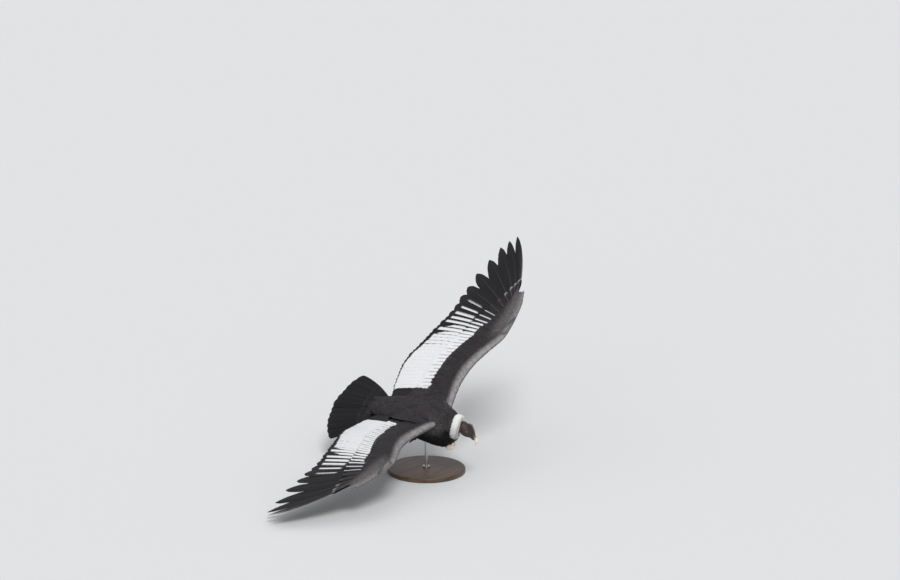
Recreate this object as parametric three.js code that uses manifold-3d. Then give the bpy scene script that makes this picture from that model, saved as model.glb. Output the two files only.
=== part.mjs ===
// A male Andean condor soaring in a gentle banked turn, life size, held over a flat base by one rod.
// Units are millimetres. In the bird's own frame +x is its left wing, +y its tail and +z its back,
// and the wing roots lie near z = 0. The whole model stands on z = 0 with the rod over the origin.
import * as THREE from "three";
import Module from "manifold-3d";

const wasm = await Module();
wasm.setup();

// Driving dimensions
const bank = THREE.MathUtils.degToRad(23.5); // lean of the whole bird to its right
const wingTurn = THREE.MathUtils.degToRad(2.2); // both wings turned about the body, the left one back
const wingHeight = 440; // wing roots above the floor
const gap = 0.35; // kept between two pieces that meet
const sliver = 0.03; // crumbs of a union or cut below this size are smoothed away
const rodSpot = [0, 190]; // the rod's place under the breast, x and y in the bird's frame
const armFeathers = 14;
const handFeathers = 10;
const flightStep = 1.75; // rise from one flight feather to the next one inwards, which lies over it
const covertStep = 1.05;
const flightThick = 1.3;
const covertThick = 1.2;
const base = { radius: 250, height: 26, edge: 5 };
const rod = { radius: 11, collarRadius: 24, collarHeight: 12 };
const tail = {
  rootY: 536, rootZ: -82, length: 420, spread: 34, halfRoot: 86, droop: 9.5, roll: 14.5, yaw: 3.7, feathers: 12,
};
const head = { centre: [16, -106, -112], bill: [0.01, -0.7, -0.71], crown: [0.43, -0.65, 0.62], scale: 1.02 };
const ruff = { centre: [2, -62, -101], faces: [0.28, -0.89, -0.36], radius: 60, thick: 20, locks: 20 };

const colours = {
  black: [0x1b1a1c, 0.62],
  brown: [0x2a2422, 0.7],
  skin: [0x3a2620, 0.6],
  comb: [0x33211f, 0.55],
  crop: [0xd9ad8c, 0.6],
  down: [0xf1eee8, 0.9],
  ivory: [0xe6dfcd, 0.35],
  eye: [0x2b160c, 0.12],
  leg: [0x77736c, 0.65],
  wood: [0x5a4330, 0.5],
  steel: [0x9a9c9f, 0.3],
};

const v3 = (x, y, z) => new THREE.Vector3(x, y, z);
const mix = (a, b, t) => a + (b - a) * t;
const clamp = THREE.MathUtils.clamp;

// A smooth curve through rows of [station, value, value, ...], straight past its ends.
function through(rows) {
  const last = rows.length - 1;
  const slope = (i, k) => {
    const [a, b] = [rows[Math.max(i - 1, 0)], rows[Math.min(i + 1, last)]];
    return (b[k] - a[k]) / (b[0] - a[0]);
  };
  return (station) => {
    const t = clamp(station, rows[0][0], rows[last][0]);
    let i = 0;
    while (i < last - 1 && t > rows[i + 1][0]) i++;
    const step = rows[i + 1][0] - rows[i][0];
    const s = (t - rows[i][0]) / step;
    return rows[i].slice(1).map((from, n) => {
      const k = n + 1;
      const bend = step * ((s ** 3 - 2 * s * s + s) * slope(i, k) + (s ** 3 - s * s) * slope(i + 1, k));
      const value = from + (rows[i + 1][k] - from) * (3 * s * s - 2 * s ** 3) + bend;
      return value + (station - t) * slope(station < t ? 0 : last, k);
    });
  };
}

// Closed solids from points and triangles, whichever way round the triangles run.
function solid(points, triangles) {
  const build = (list) =>
    new wasm.Manifold(
      new wasm.Mesh({
        numProp: 3,
        vertProperties: new Float32Array(points.flatMap((p) => p.toArray())),
        triVerts: new Uint32Array(list.flat()),
      }),
    );
  const made = build(triangles);
  return made.volume() > 0 ? made : build(triangles.map(([a, b, c]) => [a, c, b]));
}

const union = (parts) => wasm.Manifold.union(parts);
const largest = (made) => made.decompose().sort((a, b) => b.volume() - a.volume())[0];

// A body through closed rings of the same number of points. The caps join each point of the end rings to
// the one facing it across the first point.
function loft(rings) {
  const around = rings[0].length;
  const triangles = [];
  for (let i = 0; i < rings.length - 1; i++) {
    for (let j = 0; j < around; j++) {
      const [a, b] = [i * around + j, i * around + ((j + 1) % around)];
      triangles.push([a, b, a + around], [b, b + around, a + around]);
    }
  }
  const last = (rings.length - 1) * around;
  for (let low = 0, high = around; high - low > 2; ) {
    const [a, b, c] = [low, low + 1, high - 1];
    triangles.push([b, a, c % around], [last + a, last + b, last + (c % around)]);
    low++;
    if (high - low > 2) triangles.push([c - 1, b, c], [last + b, last + c - 1, last + c]);
    high--;
  }
  return solid(rings.flat(), triangles);
}

// An oval of points round centre. Above 2, roundness makes it boxier.
function oval(centre, side, up, halfWidth, top, bottom, count, roundness = 2) {
  return Array.from({ length: count }, (_, j) => {
    const [c, s] = [Math.cos((2 * Math.PI * j) / count), Math.sin((2 * Math.PI * j) / count)];
    const swell = (x) => Math.sign(x) * Math.abs(x) ** (2 / roundness);
    const point = centre.clone().addScaledVector(side, swell(c) * halfWidth);
    return point.addScaledVector(up, swell(s) * (s > 0 ? top : bottom));
  });
}

// A tube through points with a radius at each, or [half width, half height].
function tube(path, radii, sides, upward = v3(0, 0, 1)) {
  return loft(
    path.map((p, i) => {
      const along = path[Math.min(i + 1, path.length - 1)].clone().sub(path[Math.max(i - 1, 0)]);
      const side = along.clone().cross(upward).normalize();
      const up = side.clone().cross(along).normalize();
      const [wide, tall] = [radii[i]].flat().length > 1 ? radii[i] : [radii[i], radii[i]];
      return oval(p, side, up, wide, tall, tall, sides);
    }),
  );
}

// A thin plate about a grid of points, with its thickness measured straight up.
function plate(grid, thickness) {
  const [rows, across] = [grid.length, grid[0].length];
  const shifted = (side) =>
    grid.flatMap((row, i) => row.map((p, j) => p.clone().add(v3(0, 0, (side * thickness(i, j)) / 2))));
  const index = (i, j) => i * across + j;
  const under = rows * across;
  const triangles = [];
  const wall = (a, b) => triangles.push([a, b, b + under], [a, b + under, a + under]);
  for (let i = 0; i < rows - 1; i++) {
    for (let j = 0; j < across - 1; j++) {
      const [a, b, c, d] = [index(i, j), index(i, j + 1), index(i + 1, j + 1), index(i + 1, j)];
      triangles.push([a, c, b], [a, d, c], [a + under, b + under, c + under]);
      triangles.push([a + under, c + under, d + under]);
    }
    wall(index(i + 1, 0), index(i, 0));
    wall(index(i, across - 1), index(i + 1, across - 1));
  }
  for (let j = 0; j < across - 1; j++) {
    wall(index(0, j), index(0, j + 1));
    wall(index(rows - 1, j + 1), index(rows - 1, j));
  }
  return solid([...shifted(1), ...shifted(-1)], triangles);
}

// Left wing. Stations run 0 to 1 along the arm and 1 to 2 along the hand.
const leadingEdge = through([
  [0, 112, 36, -30],
  [0.25, 280, 66, 10],
  [0.5, 420, 44, 56],
  [0.75, 540, -8, 90],
  [1, 652, -60, 117],
  [1.25, 756, -58, 132],
  [1.5, 851, -48, 151],
  [1.75, 940, -28, 163],
  [2, 1019, -2, 188],
]);
const featherRoot = through([
  [0, 150, 152, -22],
  [0.25, 288, 134, 19],
  [0.5, 412, 104, 62],
  [0.75, 530, 56, 96],
  [1, 634, 20, 121],
  [1.25, 730, 6, 140],
  [1.5, 822, 6, 156],
  [1.75, 914, 20, 172],
  [2, 986, 27, 192],
]);
const featherTip = through([
  [0, 118, 520, -52],
  [0.25, 240, 556, -24],
  [0.5, 372, 566, 18],
  [0.75, 512, 524, 60],
  [1, 660, 480, 96],
  [1.25, 826, 449, 118],
  [1.5, 1070, 457, 155],
  [1.75, 1386, 421, 188],
  [2, 1472, 294, 256],
]);
// At each station: the arch of the feathers along their length, and the bow of their line.
const featherCurve = through([
  [0, 16, 0],
  [1, 14, 0],
  [1.5, -6, 10],
  [2, -2, 22],
]);
// At each station: thickness of the fleshy part, and how far along the feathers it reaches.
const wingFlesh = through([
  [0, 64, 0.24],
  [0.25, 54, 0.3],
  [0.5, 45, 0.33],
  [0.75, 38, 0.33],
  [1, 32, 0.28],
  [1.5, 23, 0.2],
  [2, 15, 0.13],
]);
const fleshRear = 12.6; // thickness of the fleshy part where the feathers leave it
const fleshRootAt = 0.3; // share of its depth at which the feathers' roots lie
const fleshProfile = [0.04, 0.14, 0.3, 0.6, 1]; // places across it, from the leading edge

const stationOf = (index) =>
  index <= armFeathers ? index / armFeathers : 1 + (index - armFeathers) / handFeathers;

// A point of the wing's feather surface: along runs 0 at the feathers' roots to 1 at their tips.
function wingPoint(station, along) {
  const [root, tip] = [v3(...featherRoot(station)), v3(...featherTip(station))];
  const [arch, bow] = featherCurve(station);
  const forward = v3(tip.y - root.y, root.x - tip.x, 0).normalize();
  const swell = 4 * along * (1 - along);
  return root.lerp(tip, along).addScaledVector(forward, bow * swell).add(v3(0, 0, arch * swell));
}

// A feather with its shaft at this index, reaching outwards and inwards by widths in millimetres. lift
// raises a tier of coverts above the flight feathers, or puts it below them.
function wingVane(tier, index, limits) {
  const station = stationOf(index);
  const grid = tier.rows(index).map(([share, inner, outer]) => {
    const along = mix(tier.from(station), tier.to(station), share);
    const ahead = wingPoint(stationOf(index + 0.5), along).sub(wingPoint(stationOf(index - 0.5), along));
    const shaft = wingPoint(station, along + 0.02).sub(wingPoint(station, along - 0.02));
    const spacing = ahead.cross(shaft.normalize()).length();
    const reach = [-inner * tier.inner(index), ...(tier.shaft ? [0] : []), outer * tier.outer(index)];
    return reach.map((wide) => {
      const place = clamp(index + wide / spacing, ...limits);
      const rise = tier.lift(station) * Math.min(1, 0.45 + 1.6 * share) + tier.step * (place - index);
      return wingPoint(stationOf(place), along).add(v3(0, 0, rise));
    });
  });
  return plate(grid, (i, j) => (tier.shaft && j !== 1 ? 0.7 : 1) * tier.thick);
}
const wingVanes = (tier, from, to, count, limits) =>
  Array.from({ length: count }, (_, n) => wingVane(tier, mix(from, to, (n + 0.5) / count), limits));

// The rows of a vane: share of its length, then its inner and outer width as shares of the full ones.
const roundVane = [
  [0, 0.5, 0.6],
  [0.5, 1, 1],
  [0.93, 0.84, 0.8],
  [1, 0.25, 0.25],
];
const covertVane = [
  [0, 0.6, 0.6],
  [0.5, 1, 1],
  [0.88, 0.9, 0.85],
  [1, 0.3, 0.3],
];
// The outer primaries narrow towards their ends, so that their tips stand apart like fingers.
const firstFinger = 3.2; // primaries inwards of this one stay broad
function primaryRows(index) {
  const finger = clamp((index - armFeathers - firstFinger) / 2.5, 0, 1);
  const slim = 0.13 * clamp((index - armFeathers - 8.6) / 0.8, 0, 1);
  return [
    [0, 0.5, 0.6],
    [0.28, 1, 1],
    [0.46, 1, 1],
    [0.62, mix(1, 1 - slim, finger), 1],
    [0.8, mix(1, 0.94 - slim, finger), mix(1, 0.92, finger)],
    [0.93, mix(0.9, 0.58 - slim, finger), mix(0.9, 0.58, finger)],
    [1, mix(0.4, 0.1, finger), mix(0.4, 0.12, finger)],
  ];
}
const outermost = armFeathers + handFeathers;
// Widths on the inner and outer side of the shaft, by index.
const featherWidths = through([
  [0, 38, 28],
  [13, 40, 30],
  [15, 52, 36],
  [17, 58, 38],
  [18.5, 64, 42],
  [20, 65, 39],
  [21, 59, 33],
  [22, 50, 26],
  [24, 42, 20],
]);
const flightTier = {
  from: () => 0,
  to: () => 1,
  inner: (index) => featherWidths(index)[0],
  outer: (index) => featherWidths(index)[1],
  lift: () => 0,
  step: flightStep,
  thick: flightThick,
  shaft: true,
};
const secondaryTier = { ...flightTier, rows: () => roundVane, shaft: false };
const primaryTier = { ...flightTier, rows: primaryRows };
const fleshEnd = (station) => wingFlesh(station)[1];
const upperTier = {
  rows: () => covertVane,
  from: (station) => fleshEnd(station) - 0.07,
  to: (station) => fleshEnd(station) + mix(0.29, 0.19, clamp(station - 1, 0, 1)),
  inner: () => 46,
  outer: (index) => mix(30, 24, clamp((index - armFeathers - 2) / 3, 0, 1)),
  lift: (station) => mix(4.9, 7.2, clamp(2.5 * station - 2.5, 0, 1)),
  step: covertStep,
  thick: covertThick,
};
const lowerTier = { ...upperTier, lift: (station) => -upperTier.lift(station) };

// The fleshy part of the wing between two stations, from its leading edge to where the feathers leave it.
function wingCore(from, to, steps, tipRound = false, rootSwell = 1) {
  const rings = Array.from({ length: steps + 1 }, (_, i) => {
    const station = mix(from, to, i / steps);
    const end = i ? (tipRound ? clamp((to - station) / (0.12 * (to - from)), 0.12, 1) ** 0.5 : 1) : rootSwell;
    const [thick, reach] = wingFlesh(station);
    const nose = v3(...leadingEdge(station));
    const chord = wingPoint(station, reach).sub(nose);
    const up = v3(1, 0, 0).cross(chord).normalize();
    const half = (t) => mix(thick * 0.5 * Math.sqrt(Math.sin(Math.PI * t ** 0.62)), fleshRear / 2, t * t);
    const middle = (t) =>
      t < fleshRootAt
        ? nose.clone().lerp(wingPoint(station, 0), t / fleshRootAt)
        : wingPoint(station, (reach * (t - fleshRootAt)) / (1 - fleshRootAt));
    const at = (t, side) => middle(t).addScaledVector(up, side * end * half(t));
    return [nose, ...fleshProfile.map((t) => at(t, 1)), ...fleshProfile.toReversed().map((t) => at(t, -1))];
  });
  return loft(rings);
}

// The few short feathers of the thumb, lying on the leading edge of the hand.
const alulaFeathers = 3;
function alulaVane(n) {
  const [from, to] = [1.04, 1.42 - 0.07 * n];
  const grid = [[0, 1], [0.5, 1], [0.85, 0.8], [1, 0.25]].map(([share, wide]) => {
    const station = mix(from, to, share);
    const edge = v3(...leadingEdge(station));
    const inwards = wingPoint(station, 0.02).sub(edge).normalize();
    const rise = mix(2, 0.42 * wingFlesh(station)[0] + 1.5, Math.min(1, 2 * share)) + 2 * n;
    return [6, 6 + 22 * wide].map((reach) =>
      edge.clone().addScaledVector(inwards, 9 * n + reach).add(v3(0, 0, rise)),
    );
  });
  return plate(grid, () => covertThick);
}

const halfCut = 0.0005; // of a station, on each side of the cut at the wrist
function wingArm() {
  const limits = [-2, armFeathers * (1 - halfCut)];
  return union([
    wingCore(-0.11, 1 - halfCut, 9, false, 0.5),
    ...wingVanes(secondaryTier, -1, armFeathers, armFeathers + 1, limits),
    ...wingVanes(upperTier, -1, armFeathers, 9, limits),
    ...wingVanes(lowerTier, -1, armFeathers, 8, limits),
  ]);
}

function wingHand() {
  const limits = [armFeathers + handFeathers * halfCut, outermost + 0.2];
  return union([
    wingCore(1 + halfCut, 2.02, 9, true),
    ...wingVanes(primaryTier, armFeathers, outermost, handFeathers, limits),
    ...wingVanes(upperTier, armFeathers, outermost, 7, limits),
    ...wingVanes(lowerTier, armFeathers, outermost, 5, limits),
    ...Array.from({ length: alulaFeathers }, (_, n) => alulaVane(n)),
  ]);
}

// Torso: [y, middle z, half width, top, bottom] from the base of the neck to the rump.
const torsoRows = through([
  [0, -48, -98, 44, 44, 46],
  [0.07, -28, -104, 72, 66, 82],
  [0.16, 2, -110, 104, 98, 134],
  [0.28, 56, -110, 125, 118, 152],
  [0.42, 140, -106, 136, 120, 134],
  [0.58, 240, -98, 134, 114, 118],
  [0.74, 350, -88, 120, 98, 96],
  [0.88, 460, -80, 102, 74, 72],
  [0.96, 545, -80, 84, 50, 50],
  [1, 592, -82, 62, 30, 30],
]);
function torsoSolid(grow = 0, rings = 18, around = 20) {
  const round = 1.1; // how boxy the middle of the body is
  return loft(
    Array.from({ length: rings + 1 }, (_, i) => {
      const [y, z, wide, top, bottom] = torsoRows(i / rings);
      const end = (i === 0 ? -1 : i === rings ? 1 : 0) * grow;
      const [side, up] = [v3(1, 0, 0), v3(0, 0, 1)];
      return oval(v3(0, y + end, z), side, up, wide + grow, top + grow, bottom + grow, around, 2 * round);
    }),
  );
}

// Head frame: x towards the bill's tip, y to the head's left and z to its crown.
const headX = v3(...head.bill).normalize();
const headY = v3(...head.crown).cross(headX).normalize();
const headTurn = new THREE.Matrix4()
  .makeBasis(headX, headY, headX.clone().cross(headY))
  .setPosition(...head.centre)
  .multiply(new THREE.Matrix4().makeScale(head.scale, head.scale, head.scale));
const inHead = (made) => made.transform(headTurn.elements);
const headOval = (x, z, wide, top, bottom, count, roundness) =>
  oval(v3(x, 0, z), v3(0, 1, 0), v3(0, 0, 1), wide, top, bottom, count, roundness);

// Skull and cere: [x, middle z, half width, top, bottom].
const billStart = 74;
const mouthZ = -11;
const skullRows = through([
  [-50, 0, 8, 8, 8],
  [-44, 0, 20, 20, 20],
  [-26, 1, 32, 32, 40],
  [0, 1, 35, 35, 44],
  [24, -1, 33, 31, 41],
  [44, -4, 26, 24, 31],
  [60, -5, 17.5, 19, 20],
  [billStart, -6, 13.5, 18.5, 15.5],
]);
const skullPlaces = [-50, -44, -34, -20, -6, 8, 22, 34, 44, 54, 64, billStart];
const skullSolid = (grow = 0) =>
  loft(
    skullPlaces.map((x) => {
      const [z, wide, top, bottom] = skullRows(x);
      return headOval(x, z, wide + grow, top + grow, bottom + grow, 18);
    }),
  );

const eye = { x: 21, y: 27.5, z: 7, radius: 8.4 };
const ball = (centre, radius) =>
  loft(
    [0.12, 0.3, 0.5, 0.7, 0.88].map((share) => {
      const ring = radius * Math.sin(Math.PI * share);
      const middle = centre.clone().add(v3(0, radius * Math.cos(Math.PI * share), 0));
      return oval(middle, v3(1, 0, 0), v3(0, 0, 1), ring, ring, ring, 12);
    }),
  );
const loop = (centre, radius, thick) => {
  const out = (angle) => v3(Math.cos(angle), 0, Math.sin(angle));
  const spot = (angle) => centre.clone().addScaledVector(out(angle), radius);
  return hoop(10, 5, spot, out, v3(0, 1, 0), thick, thick);
};

function headSolid() {
  const parts = [skullSolid()];
  const cuts = [];
  for (const side of [-1, 1]) {
    const spot = v3(eye.x, side * eye.y, eye.z);
    parts.push(loop(spot.clone().add(v3(0, side * 2.2, 0)), eye.radius + 0.6, 2.4)); // lids
    parts.push(loop(v3(-14, side * 31.5, -6), 5.2, 1.9)); // rim of the ear
    cuts.push(ball(spot, eye.radius + gap), ball(v3(-14, side * 34, -6), 4.6));
  }
  for (const [x, size] of [[34, 1], [18, 0.8]]) {
    // folds of the wattle under the throat
    const drop = [[0, 0], [-8, 1.5], [-15, 3]].map(([z, back]) => v3(x - back, 0, -35 + z * size));
    parts.push(tube(drop, [[4.2, 13 * size], [3.4, 10 * size], [1.6, 4 * size]], 10, v3(0, 1, 0)));
  }
  const nostril = tube([v3(63, -30, 2), v3(63, 30, 2)], [[5, 2.6], [5, 2.6]], 10);
  const mouth = new THREE.Mesh(new THREE.BoxGeometry(60, 80, 1.3));
  const corner = fromThree(mouth).translate([billStart - 6, 0, mouthZ]);
  return inHead(largest(union(parts).subtract(union([...cuts, nostril, corner]))));
}

function fromThree(mesh) {
  const place = mesh.geometry.getAttribute("position");
  const [points, seen] = [[], new Map()];
  const index = Array.from(mesh.geometry.index.array, (n) => {
    const p = v3().fromBufferAttribute(place, n);
    const key = p.toArray().map((x) => x.toFixed(3)).join();
    if (!seen.has(key)) seen.set(key, points.push(p) - 1);
    return seen.get(key);
  });
  const triangles = [];
  for (let i = 0; i < index.length; i += 3) triangles.push(index.slice(i, i + 3));
  return solid(points, triangles);
}

// Upper half of the bill: [x, z, half width, top, bottom] down its hooked line.
function billUpper() {
  const floor = mouthZ + 0.65;
  const rows = [
    [billStart + gap, -6, 13.5, 18.5],
    [88, -5, 12.5, 17],
    [100, -7, 11, 15],
  ];
  const front = rows.map(([x, z, wide, top]) => headOval(x, z, wide, top, z - floor, 14, 2.3));
  const hook = [
    [112, -13, 9, 13, 0.5],
    [119, -24, 6.5, 9, 1.1],
    [121, -34, 3.6, 5.5, 1.4],
    [119.5, -41, 1, 1.4, 1.5],
  ].map(([x, z, wide, tall, lean]) => {
    const up = v3(Math.sin(lean), 0, Math.cos(lean));
    return oval(v3(x, 0, z), v3(0, 1, 0), up, wide, tall, tall * 0.75, 14, 2.2);
  });
  return inHead(loft([...front, ...hook]));
}

function billLower() {
  const roof = mouthZ - 0.65;
  const rows = [
    [billStart + gap, 13, 9.8],
    [84, 11.5, 9.4],
    [91, 9, 7.8],
    [96, 5.5, 5],
    [98, 2.5, 2],
  ];
  return inHead(loft(rows.map(([x, wide, deep]) => headOval(x, roof - 0.2, wide, 0.2, deep, 12, 2.2))));
}

// Fleshy comb on the crown, with a lobed edge: [x, height above the crown, half thickness].
function combSolid() {
  const rows = through([
    [-14, 1, 3],
    [0, 14, 5],
    [16, 25, 6],
    [34, 30, 6],
    [52, 27, 5.6],
    [67, 17, 5],
    [77, 5, 3],
  ]);
  const places = [-14, -6, 2, 10, 18, 27, 36, 45, 54, 62, 69, 77];
  const rings = places.map((x, i) => {
    const [rise, thick] = rows(x);
    const crown = skullRows(Math.min(x, billStart))[0] + skullRows(Math.min(x, billStart))[2];
    const lobe = i % 2 ? 1.2 : -0.8;
    return headOval(x, crown, thick, rise + lobe, 9, 10, 2.4);
  });
  const overBill = loft([billStart - 1, 100].map((x) => headOval(x, -5, 14, 18.5 + gap, 14, 14)));
  return inHead(largest(loft(rings).subtract(skullSolid(gap)).subtract(overBill)));
}

// Neck: folded skin from inside the ruff to the back of the head.
const ruffCentre = v3(...ruff.centre);
const ruffAxis = v3(...ruff.faces).normalize();
const throat = v3(-8, 0, -33).applyMatrix4(headTurn);
const neckFolds = [52, 56, 52, 54, 47]; // its radius from the breast to the head
function neckSolid(grow = 0) {
  const start = ruffCentre.clone().addScaledVector(ruffAxis, -18);
  const path = neckFolds.map((_, i) => start.clone().lerp(throat, i / (neckFolds.length - 1)));
  return tube(path, neckFolds.map((r) => r + grow), 16);
}

// Ruff: a collar of down round the neck, of flat locks that lean back over the breast and overlap.
const ruffUp = v3(1, 0, 0).cross(ruffAxis).negate().normalize();
const ruffSide = ruffAxis.clone().cross(ruffUp);
const ruffSpot = (angle, radius, ahead) =>
  ruffCentre.clone()
    .addScaledVector(ruffSide, Math.cos(angle) * radius)
    .addScaledVector(ruffUp, Math.sin(angle) * radius)
    .addScaledVector(ruffAxis, ahead);
// A closed ring of round section: its centre line is spot(angle), and out(angle) and along span the section.
function hoop(turns, around, spot, out, along, wide, deep) {
  const rings = Array.from({ length: turns }, (_, i) => {
    const angle = (2 * Math.PI * i) / turns;
    return oval(spot(angle), out(angle), along, wide, deep, deep, around);
  });
  const index = (i, j) => (i % turns) * around + (j % around);
  const triangles = rings.flatMap((ring, i) =>
    ring.flatMap((_, j) => [
      [index(i, j), index(i, j + 1), index(i + 1, j)],
      [index(i, j + 1), index(i + 1, j + 1), index(i + 1, j)],
    ]),
  );
  return solid(rings.flat(), triangles);
}
function ruffSolid() {
  const out = (angle) => ruffSpot(angle, 1, 0).sub(ruffCentre);
  const core = hoop(18, 6, (angle) => ruffSpot(angle, ruff.radius, -6), out, ruffAxis, 13, 19);
  const locks = Array.from({ length: ruff.locks }, (_, n) => {
    const angle = (2 * Math.PI * n) / ruff.locks;
    const turned = angle + 0.2; // each lock sweeps round a little, over the next one
    const [inner, outer] = [ruff.radius - 2, ruff.radius + ruff.thick * (n % 2 ? 1.05 : 0.92)];
    const path = [
      ruffSpot(angle, inner, 8),
      ruffSpot(mix(angle, turned, 0.5), mix(inner, outer, 0.8), 11),
      ruffSpot(turned, outer, -22),
    ];
    return tube(path, [[12, 6.5], [15, 7], [8, 2]], 5, out(angle));
  });
  return union([core, ...locks]);
}

// Bare skin of the full crop, pushing out between the feathers of the breast.
const cropPath = [v3(-18, 62, -242), v3(-24, 26, -250), v3(-24, -8, -232)];
const cropSolid = (grow = 0) =>
  tube(cropPath, [[20, 16], [37, 32], [18, 16]].map((r) => r.map((x) => x + grow)), 14);

// Tail
const tailTurn = new THREE.Matrix4()
  .makeTranslation(0, tail.rootY, tail.rootZ)
  .multiply(new THREE.Matrix4().makeRotationX(THREE.MathUtils.degToRad(-tail.droop)))
  .multiply(new THREE.Matrix4().makeRotationY(THREE.MathUtils.degToRad(-tail.roll)))
  .multiply(new THREE.Matrix4().makeRotationZ(THREE.MathUtils.degToRad(tail.yaw)));
const tailHalf = tail.feathers / 2;
function tailPoint(index, along) {
  const out = index / tailHalf;
  const angle = THREE.MathUtils.degToRad(tail.spread) * out;
  const length = tail.length * (1 - 0.02 * Math.cos(angle * 3) - 0.09 * out * out) * along;
  const bow = 17 * out * 4 * along * (1 - along);
  const sag = 12 * along * along - 16 * out * out * along;
  const across = tail.halfRoot * out * (1 - 0.5 * along) + length * Math.sin(angle) + bow;
  return v3(across, length * Math.cos(angle), sag);
}
function tailVane(tier, index, shift = 0) {
  const grid = tier.rows.map(([share, inner, outer]) => {
    const along = mix(tier.from, tier.to, share);
    const spacing = tailPoint(index + 0.5, along).distanceTo(tailPoint(index - 0.5, along));
    const reach = [-inner * tier.inner, ...(tier.shaft ? [0] : []), outer * tier.outer];
    return reach.map((wide) => {
      const place = Math.min(index + wide / spacing, tailHalf + 0.2);
      const rise = tier.lift * Math.min(1, 0.45 + 1.6 * share) + tier.step * (place - index) + shift;
      return tailPoint(place, along).add(v3(0, 0, rise));
    });
  });
  return plate(grid, (i, j) => (tier.shaft && j !== 1 ? 0.7 : 1) * tier.thick);
}
const rectrixTier = {
  rows: roundVane,
  from: 0.1,
  to: 1,
  inner: 36,
  outer: 31,
  lift: 0,
  step: flightStep,
  thick: flightThick,
  shaft: true,
};
const tailUpper = {
  rows: covertVane,
  from: 0.14,
  to: 0.5,
  inner: 34,
  outer: 28,
  lift: 5.6,
  step: covertStep,
  thick: covertThick,
};
const tailLower = { ...tailUpper, to: 0.56, lift: -5.6 };
const mirrored = (made) => made.mirror([1, 0, 0]);

function tailSolid() {
  const core = loft(
    [[8, 84, 22], [45, 84, 20], [80, 92, 12], [104, 100, 7.4]].map(([y, wide, deep]) =>
      oval(v3(0, y, 0), v3(1, 0, 0), v3(0, 0, 1), wide, deep, deep, 16, 2.8),
    ),
  );
  const parts = [core];
  for (let n = 0; n < tailHalf; n++) {
    const shift = n ? 0 : 2.2 * flightStep; // the middle pair lies one over the other
    parts.push(tailVane(rectrixTier, n + 0.5, shift), mirrored(tailVane(rectrixTier, n + 0.5)));
  }
  for (const place of [0.9, 2.7, 4.5]) {
    const pair = [tailVane(tailUpper, place), tailVane(tailLower, place)];
    parts.push(...pair, ...pair.map(mirrored));
  }
  return union(parts).transform(tailTurn.elements);
}

// Left leg, folded back under the body: feathered thigh, bare shank, foot with three toes and a hind toe.
const heel = v3(62, 402, -186);
const ankle = v3(52, 524, -158);
const toes = [[-20, 62], [0, 84], [20, 62]]; // spread in degrees, and length
const thighSolid = () =>
  tube([v3(66, 236, -190), v3(72, 262, -198), v3(74, 300, -200), v3(70, 350, -196), v3(64, 392, -188)],
    [14, 30, 36, 28, 14], 16);
const shankSolid = (grow = 0) =>
  tube([heel, heel.clone().lerp(ankle, 0.5), ankle.clone().add(v3(0, grow, 0))],
    [11 + grow, 8.5 + grow, 9 + grow], 10);
function footSolid() {
  const start = ankle.clone().add(v3(0, 8, 1));
  const sole = [ankle.clone().add(v3(0, gap, 0)), start, start.clone().add(v3(0, 9, 0))];
  const parts = [tube(sole, [8.6, 12, 10], 8)];
  for (const [spread, length] of toes) {
    const way = v3(Math.sin(THREE.MathUtils.degToRad(spread)), Math.cos(THREE.MathUtils.degToRad(spread)), 0);
    const at = (share, drop) => start.clone().addScaledVector(way, length * share).add(v3(0, 0, drop));
    parts.push(tube([at(0, 0), at(0.4, 3), at(1, -9)], [7.5, 6.6, 4.8], 7));
    parts.push(tube([at(0.92, -7), at(1.12, -13), at(1.24, -25)], [4.2, 3.4, 0.8], 6));
  }
  const hind = [start.clone(), start.clone().add(v3(0, -18, -10)), start.clone().add(v3(0, -28, -21))];
  parts.push(tube(hind, [5.5, 4.2, 0.8], 6));
  return union(parts);
}

// Stand
const birdTurn = new THREE.Matrix4().makeRotationY(-bank);
const rodFoot = v3(rodSpot[0], rodSpot[1], -106).applyMatrix4(birdTurn);
birdTurn.setPosition(-rodFoot.x, -rodFoot.y, wingHeight);
const disc = (radius, low, high, around) =>
  loft([low, high].map((z) => oval(v3(0, 0, z), v3(1, 0, 0), v3(0, 1, 0), radius, radius, radius, around)));
function baseSolid() {
  const rows = [[0, -2], [2, 0], [base.height - base.edge, 0], [base.height, -base.edge]];
  return loft(
    rows.map(([z, inset]) => {
      const radius = base.radius + inset;
      return oval(v3(0, 0, z), v3(1, 0, 0), v3(0, 1, 0), radius, radius, radius, 40);
    }),
  );
}
const collarSolid = () => {
  const low = base.height + gap;
  return disc(rod.collarRadius, low, low + rod.collarHeight, 24);
};
function rodSolid() {
  const low = base.height + rod.collarHeight + 2 * gap;
  const held = torsoSolid(gap).transform(birdTurn.elements);
  return largest(disc(rod.radius, low, wingHeight - 100, 20).subtract(held));
}

// The nodes
const torsoRoom = torsoSolid(gap);
const clearOf = (made, ...rooms) => largest(rooms.reduce((left, room) => left.subtract(room), made));
const torso = torsoSolid();
const skullRoom = inHead(skullSolid(gap));
const neckRoom = neckSolid(gap);
const besideSkull = neckRoom.subtract(inHead(skullSolid(gap / 2))); // the neck's room, beside the skull
const cropRoom = cropSolid(gap);

const bird = new THREE.Group();
const model = new THREE.Group();
function node(group, name, made, [colour, roughness]) {
  const mesh = made.asOriginal().simplify(sliver).getMesh();
  const geometry = new THREE.BufferGeometry();
  geometry.setAttribute("position", new THREE.BufferAttribute(new Float32Array(mesh.vertProperties), 3));
  geometry.setIndex(new THREE.BufferAttribute(new Uint32Array(mesh.triVerts), 1));
  const made3 = new THREE.Mesh(geometry, new THREE.MeshStandardMaterial({ color: colour, roughness }));
  made3.name = name;
  group.add(made3);
}

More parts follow.
